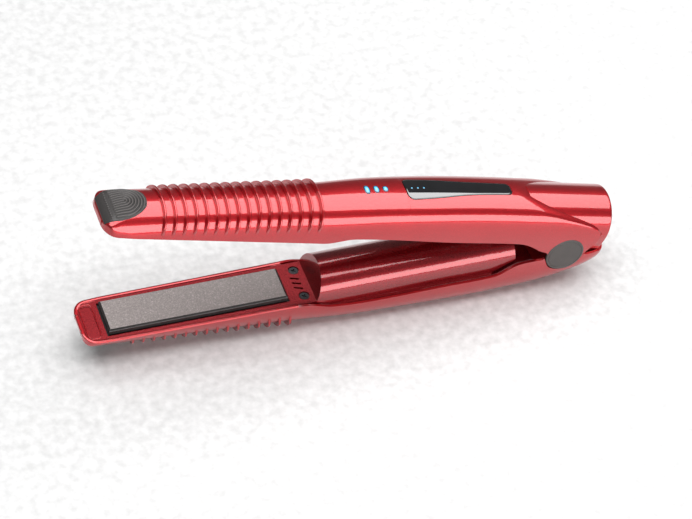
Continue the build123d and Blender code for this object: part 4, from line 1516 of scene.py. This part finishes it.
LOWER_SHELL = ArmShell(
    Arm.LOWER, LOWER_SECTIONS,
    low=Outline((-250.0, -190.0, -137.5, -136.0, -133.0, -128.0, -123.0, -120.5, -119.0, -60.0,
                 -39.0, -36.0, -33.0, -30.0, -27.0, -24.0, -21.5, -12.0, -10.45, -10.2, -9.0,
                 -5.2, 0.0, 5.2, 9.0, 9.8, 13.0, 24.0),
                (2.9, 2.9, 2.9, 2.92, 3.2, 4.6, 6.2, 6.68, 6.8, 6.8,
                 6.8, 6.6, 5.5, 3.9, 2.3, 1.25, 1.0, 1.0, 1.05, 2.0, 5.2,
                 9.0, 10.4, 9.0, 5.2, 3.5, 3.65, 4.2)),
    high=Outline((-250.0, 30.0), (60.0, 60.0)),
    handle_rows=handle_places(((-138.9, -118.0, 20), (-118.0, -40.0, 40), (-40.0, -12.0, 24),
                               (-12.0, -9.0, 10), (-9.0, 9.0, 22), (9.0, 19.0, 10)),
                              24.0, 5.0, 24),
    stands=True,
    dome=(19.0, 24.0),
    size=BarrelSize(tip=-245.0))
SHELLS = {Arm.UPPER: UPPER_SHELL, Arm.LOWER: LOWER_SHELL}


# ------------------------------------------------------------------ sub-assemblies


@dataclass(frozen=True)
class PlateSet:
    """One arm's heated set: plate, black frame and the parts behind them."""

    arm: Arm

    def build(self) -> list[bpy.types.Object]:
        """Dress the plate, its frame and its hidden parts.

        Returns:
            The plate and its frame.
        """
        prefix = self.arm.name.lower()
        outward = ArmFrame.of(self.arm).outward
        plate = dressed_copy(f"{prefix}_plate", f"{prefix}_float", CERAMIC,
                             f"{prefix}_heating_plate", bevel=0.25)
        paint_by_facing(plate, POLISHED_EDGE, -outward, 20.0)
        # the frame's darker lacquer is painted shade
        bezel = dressed_copy(f"{prefix}_bezel", self.arm.value, SHADED_RED,
                             f"{prefix}_plate_frame", bevel=0.15)
        dress_nodes(HEATER_CERAMIC, f"{prefix}_heater")
        dress_nodes(SPRING_STEEL, f"{prefix}_heater_clamp", f"{prefix}_leaf_spring")
        dress_nodes(NICKEL, f"{prefix}_thermal_fuse", f"{prefix}_temperature_sensor")
        dress_nodes(BLACK_HEATPROOF, f"{prefix}_plate_tray")
        dressed_copy(f"{prefix}_screws", self.arm.value, SCREW_BLACK, f"{prefix}_frame_screws")
        return [plate, bezel]


@dataclass(frozen=True)
class UpperHandle:
    """What the upper handle carries: key, lights, cover, board and tail."""

    lamp_places: tuple[float, ...] = (-114.7, -109.8, -105.0)
    lamp_lengths: tuple[float, ...] = (6.0, 5.0, 3.8)
    lamp_width: float = 3.0
    dot_places: tuple[float, ...] = (-91.0, -87.75, -84.5)
    dot_size: float = 1.2

    def build(self) -> list[bpy.types.Object]:
        """Build the key with its dots, the tail, the lights and the dressed parts.

        Returns:
            The new pieces.
        """
        key = CrownPiece(KEY_SHAPE, proud=0.25, depth=1.6).build(
            "control_leaf", PIANO_BLACK, "key", "control_key")
        tail = TailTube().build(RED_LACQUER)
        lights = [OvalLens(f"status_light_{number}", x, length, self.lamp_width, 0.12, 0.25)
                  .build(BLUE_LAMP, Arm.UPPER.value) for number, (x, length)
                  in enumerate(zip(self.lamp_places, self.lamp_lengths), start=1)]
        dots = [OvalLens(f"key_dot_{number}", x, self.dot_size, self.dot_size, 0.27, 0.08)
                .build(BLUE_DOT, "key") for number, x in enumerate(self.dot_places, start=1)]
        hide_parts("key_lamps")
        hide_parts("indicator_lens")
        # the cover's darker lacquer is painted shade
        cover = dressed_copy("upper_inner_cover", Arm.UPPER.value, SHADED_RED,
                             "upper_cover_moulding", bevel=0.2)
        disc = dressed_copy("tail_cap", Arm.UPPER.value, CAP_GREY, "tail_disc", bevel=0.2)
        collar = dressed_copy("charge_socket", Arm.UPPER.value, BLACK_HEATPROOF,
                              "charge_socket_collar", bevel=0.15)
        dress_nodes(NICKEL, "charge_pin")
        dress_nodes(BOARD_GREEN, "control_board")
        dress_nodes(BLACK_HEATPROOF, "key_switch")
        dress_nodes(HEATER_CERAMIC, "indicator_leds")
        return [key, tail, *lights, *dots, cover, disc, collar]


@dataclass(frozen=True)
class HandleTrim:
    """The trim inside the lower handle's rim: a fine bead, and a floor behind the housing."""

    first: float = -127.0
    last: float = -16.0
    inner: float = 12.2
    closing: tuple[float, float] = (-44.0, -36.0)
    floor_rise: float = 1.4
    joint: float = 1.55
    wall: float = 0.4
    bead: tuple[tuple[float, float], ...] = ((0.0, 1.3), (0.1, 0.35), (0.3, 0.15), (0.55, 0.25),
                                             (0.75, 0.8), (1.0, 0.95))

    def side(self, side: Side, finish: Finish) -> bpy.types.Object:
        """One side of the trim, a profile swept along the rim line.

        A point is (x, s (w - e - a), l + b): w is the rim's half width, e the joint, (a, b)
        the profile and l the rim's height; the inner edge runs to the middle at the rear.

        Args:
            side: which side.
            finish: the trim's finish.

        Returns:
            The trim, riding on the lower arm.
        """
        x = np.linspace(self.first, self.last, 160)
        half = LOWER_SECTIONS.at(x)[0] - self.joint
        low = LOWER_SHELL.low.at(x)
        closed = smooth_step(*self.closing, x)
        inner = self.inner * (1.0 - closed)
        across = [half - a for a, _ in self.bead]
        height = [low + b for _, b in self.bead]
        floor = np.linspace(0.0, 1.0, 8)[1:]
        across += [across[-1] + (inner - across[-1]) * share for share in floor]
        height += [low + self.bead[-1][1] + self.floor_rise * share * closed for share in floor]
        y, z = np.stack(across, axis=1), np.stack(height, axis=1)
        points = np.stack([np.repeat(x[:, None], y.shape[1], axis=1), side.value * y, z], axis=-1)
        frame_of = ArmFrame.of(Arm.LOWER)
        piece = make_piece(f"handle_trim_{side.name.lower()}", frame_of.place(points),
                           grid_faces(*y.shape), finish, smooth_angle=50.0)
        face_along(piece, -frame_of.outward)
        thicken(piece, self.wall)
        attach(piece, Arm.LOWER.value)
        return piece

    def build(self) -> list[bpy.types.Object]:
        """Make both sides."""
        # the trim's darker lacquer is painted shade
        return [self.side(side, SHADED_RED) for side in Side]


@dataclass(frozen=True)
class BatteryBay:
    """The lower handle's battery housing and what it holds."""

    def build(self) -> list[bpy.types.Object]:
        """Dress the housing, the cell, its tabs and cradle and the charge board.

        Returns:
            The new pieces.
        """
        # the housing's darker lacquer is painted shade
        housing = dressed_copy("battery_housing", Arm.LOWER.value, SHADED_RED, "battery_cover",
                               smooth_angle=24.0, bevel=0.35)
        dress_nodes(CELL_WRAP, "battery_cell")
        dress_nodes(NICKEL, "battery_tabs")
        dress_nodes(BLACK_HEATPROOF, "battery_cradle")
        dress_nodes(BOARD_GREEN, "charge_board")
        return [housing]


@dataclass(frozen=True)
class Hinge:
    """The hinge with its two side caps."""

    face: float = 17.5
    radii: tuple[float, ...] = (0.0, 2.5, 5.0, 7.2, 8.3, 8.55, 8.7, 8.85, 9.1, 9.5, 9.8, 9.95,
                                10.0, 10.0, 9.9)
    heights: tuple[float, ...] = (0.10, 0.09, 0.05, -0.02, -0.06, -0.1, -0.28, -0.1, 0.0, 0.0,
                                  -0.1, -0.25, -0.5, -1.2, -1.45)
    spokes: int = 96

    def cap(self, side: Side) -> bpy.types.Object:
        """A disc turned about the hinge axis, its profile a raised rim round a shallow dish.

        A point is (r cos a, s (f + h), r sin a), with h(r) the profile's height.

        Args:
            side: which side.

        Returns:
            The cap, riding on the upper arm and standing for its CAD cap.
        """
        radius, height = np.array(self.radii)[:, None], np.array(self.heights)[:, None]
        angle = np.linspace(0.0, 2 * math.pi, self.spokes, endpoint=False)
        points = np.stack([radius * np.cos(angle),
                           np.repeat(side.value * (self.face + height), self.spokes, axis=1),
                           radius * np.sin(angle)], axis=-1)
        place = ArmFrame.of(Arm.UPPER).place
        name = f"hinge_disc_{side.name.lower()}"
        faces = grid_faces(len(self.radii), self.spokes, close=True)
        piece = make_piece(name, place(points), faces, CAP_GREY, merge=1e-6, smooth_angle=50.0)
        face_along(piece, side.value * ArmFrame.of(Arm.UPPER).across)
        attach(piece, Arm.UPPER.value)
        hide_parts(f"hinge_cap_{side.name.lower()}")
        return piece

    def build(self) -> list[bpy.types.Object]:
        """Make both caps and dress the pin, the bushes and the spring.

        Returns:
            Both caps.
        """
        dress_nodes(SPRING_STEEL, "hinge_pin", "hinge_spring")
        dress_nodes(ACETAL, "hinge_bushes")
        return [self.cap(Side.NEAR), self.cap(Side.FAR)]


# ------------------------------------------------------------------ studio


@dataclass(frozen=True)
class SoftBox:
    """A rectangular area light: where it stands, where it aims, its size and its power."""

    name: str
    place: tuple[float, float, float]
    aim: tuple[float, float, float]
    size: tuple[float, float]
    power: float

    def build(self) -> bpy.types.Object:
        """Make the light, its long side level.

        Returns:
            The light.
        """
        light = bpy.data.lights.new(self.name, "AREA")
        light.shape = "RECTANGLE"
        light.size, light.size_y = self.size
        light.energy = self.power
        lamp = bpy.data.objects.new(self.name, light)
        bpy.context.scene.collection.objects.link(lamp)
        back = np.array(self.place) - np.array(self.aim)
        back /= np.linalg.norm(back)
        across = np.array([1.0, 0.0, 0.0]) - back * back[0]
        across /= np.linalg.norm(across)
        set_axes(lamp, across, np.cross(back, across), back, np.array(self.place))
        return lamp


@dataclass(frozen=True)
class Viewpoint:
    """Where the camera stands: angles in degrees round an aim point, distance in metres."""

    azimuth: float = 25.157
    elevation: float = 46.163
    roll: float = 8.656
    aim: tuple[float, float, float] = (-0.049557, -0.008623, 0.04)
    distance: float = 1.45136
    lens: float = 156.27
    sensor: float = 36.0

    def build(self) -> bpy.types.Object:
        """Make the camera and make it the scene's own.

        Returns:
            The camera.
        """
        data = bpy.data.cameras.new("main_view")
        data.lens, data.sensor_width, data.sensor_fit = self.lens, self.sensor, "HORIZONTAL"
        data.clip_start, data.clip_end = 0.01, 100.0
        data.dof.use_dof = False
        camera = bpy.data.objects.new("main_view", data)
        bpy.context.scene.collection.objects.link(camera)
        turn, rise, roll = (math.radians(v) for v in (self.azimuth, self.elevation, self.roll))
        ahead = np.array([math.sin(turn) * math.cos(rise), math.cos(turn) * math.cos(rise),
                          -math.sin(rise)])
        level = np.array([math.cos(turn), -math.sin(turn), 0.0])
        upright = np.cross(level, ahead)
        right = math.cos(roll) * level + math.sin(roll) * upright
        above = np.cross(right, ahead)
        set_axes(camera, right, above, -ahead, np.array(self.aim) - ahead * self.distance)
        bpy.context.scene.camera = camera
        return camera


def set_axes(item: bpy.types.Object, x: Array, y: Array, z: Array, place: Array) -> None:
    """Stand an object at a place with its own axes along three directions.

    Args:
        item: the camera or light.
        x: its first direction.
        y: its second direction.
        z: its third direction.
        place: where it stands.
    """
    matrix = np.eye(4)
    matrix[:3, 0], matrix[:3, 1], matrix[:3, 2], matrix[:3, 3] = x, y, z, place
    item.matrix_world = Matrix(matrix.tolist())


@dataclass(frozen=True)
class Studio:
    """A pale floor, a soft surrounding glow and the soft boxes."""

    floor_half: float = 3.0
    glow: float = 0.1
    boxes: tuple[SoftBox, ...] = (
        SoftBox("overhead_box", (0.15, 0.09, 0.75), (0.15, 0.09, 0.0), (1.7, 0.92), 18.5),
        SoftBox("front_box", (0.25, -0.95, 0.29), (0.25, 0.0, 0.2), (1.7, 0.46), 11.0),
    )

    def build(self) -> list[bpy.types.Object]:
        """Make the floor and the lights.

        Returns:
            The floor and the lights.
        """
        half = self.floor_half
        points = np.array([[-half, -half, 0.0], [half, -half, 0.0], [half, half, 0.0],
                           [-half, half, 0.0]])
        floor = make_piece("floor", points, np.array([[0, 1, 2, 3]]), FLOOR_PALE)
        world = bpy.data.worlds.new("studio")
        world.use_nodes = True
        background = world.node_tree.nodes["Background"]
        background.inputs["Color"].default_value = (1.0, 1.0, 1.0, 1.0)
        background.inputs["Strength"].default_value = self.glow
        bpy.context.scene.world = world
        bpy.context.scene.view_settings.view_transform = "Standard"
        return [floor, *(box.build() for box in self.boxes)]


def main() -> None:
    """Build every sub-assembly, then the studio and the camera, and log each piece, with the face
    counts of the shells and pads.
    """
    logging.basicConfig(level=logging.INFO, format="%(message)s")
    for shell in SHELLS.values():
        piece = shell.build(RED_LACQUER)
        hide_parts(f"{shell.arm.name.lower()}_shell")
        log.info("%s: %d faces", piece.name, len(piece.data.polygons))
        pad = TipPad(shell.arm).build(PAD_RUBBER)
        log.info("%s: %d faces", pad.name, len(pad.data.polygons))
    for assembly in (PlateSet(Arm.UPPER), PlateSet(Arm.LOWER), RimRoll(Arm.UPPER),
                     RimRoll(Arm.LOWER), UpperHandle(), HandleTrim(), BatteryBay(), Hinge(),
                     Studio()):
        for piece in assembly.build():
            log.info("%s: %s", type(assembly).__name__, piece.name)
    Viewpoint().build()


if __name__ == "__main__":
    main()
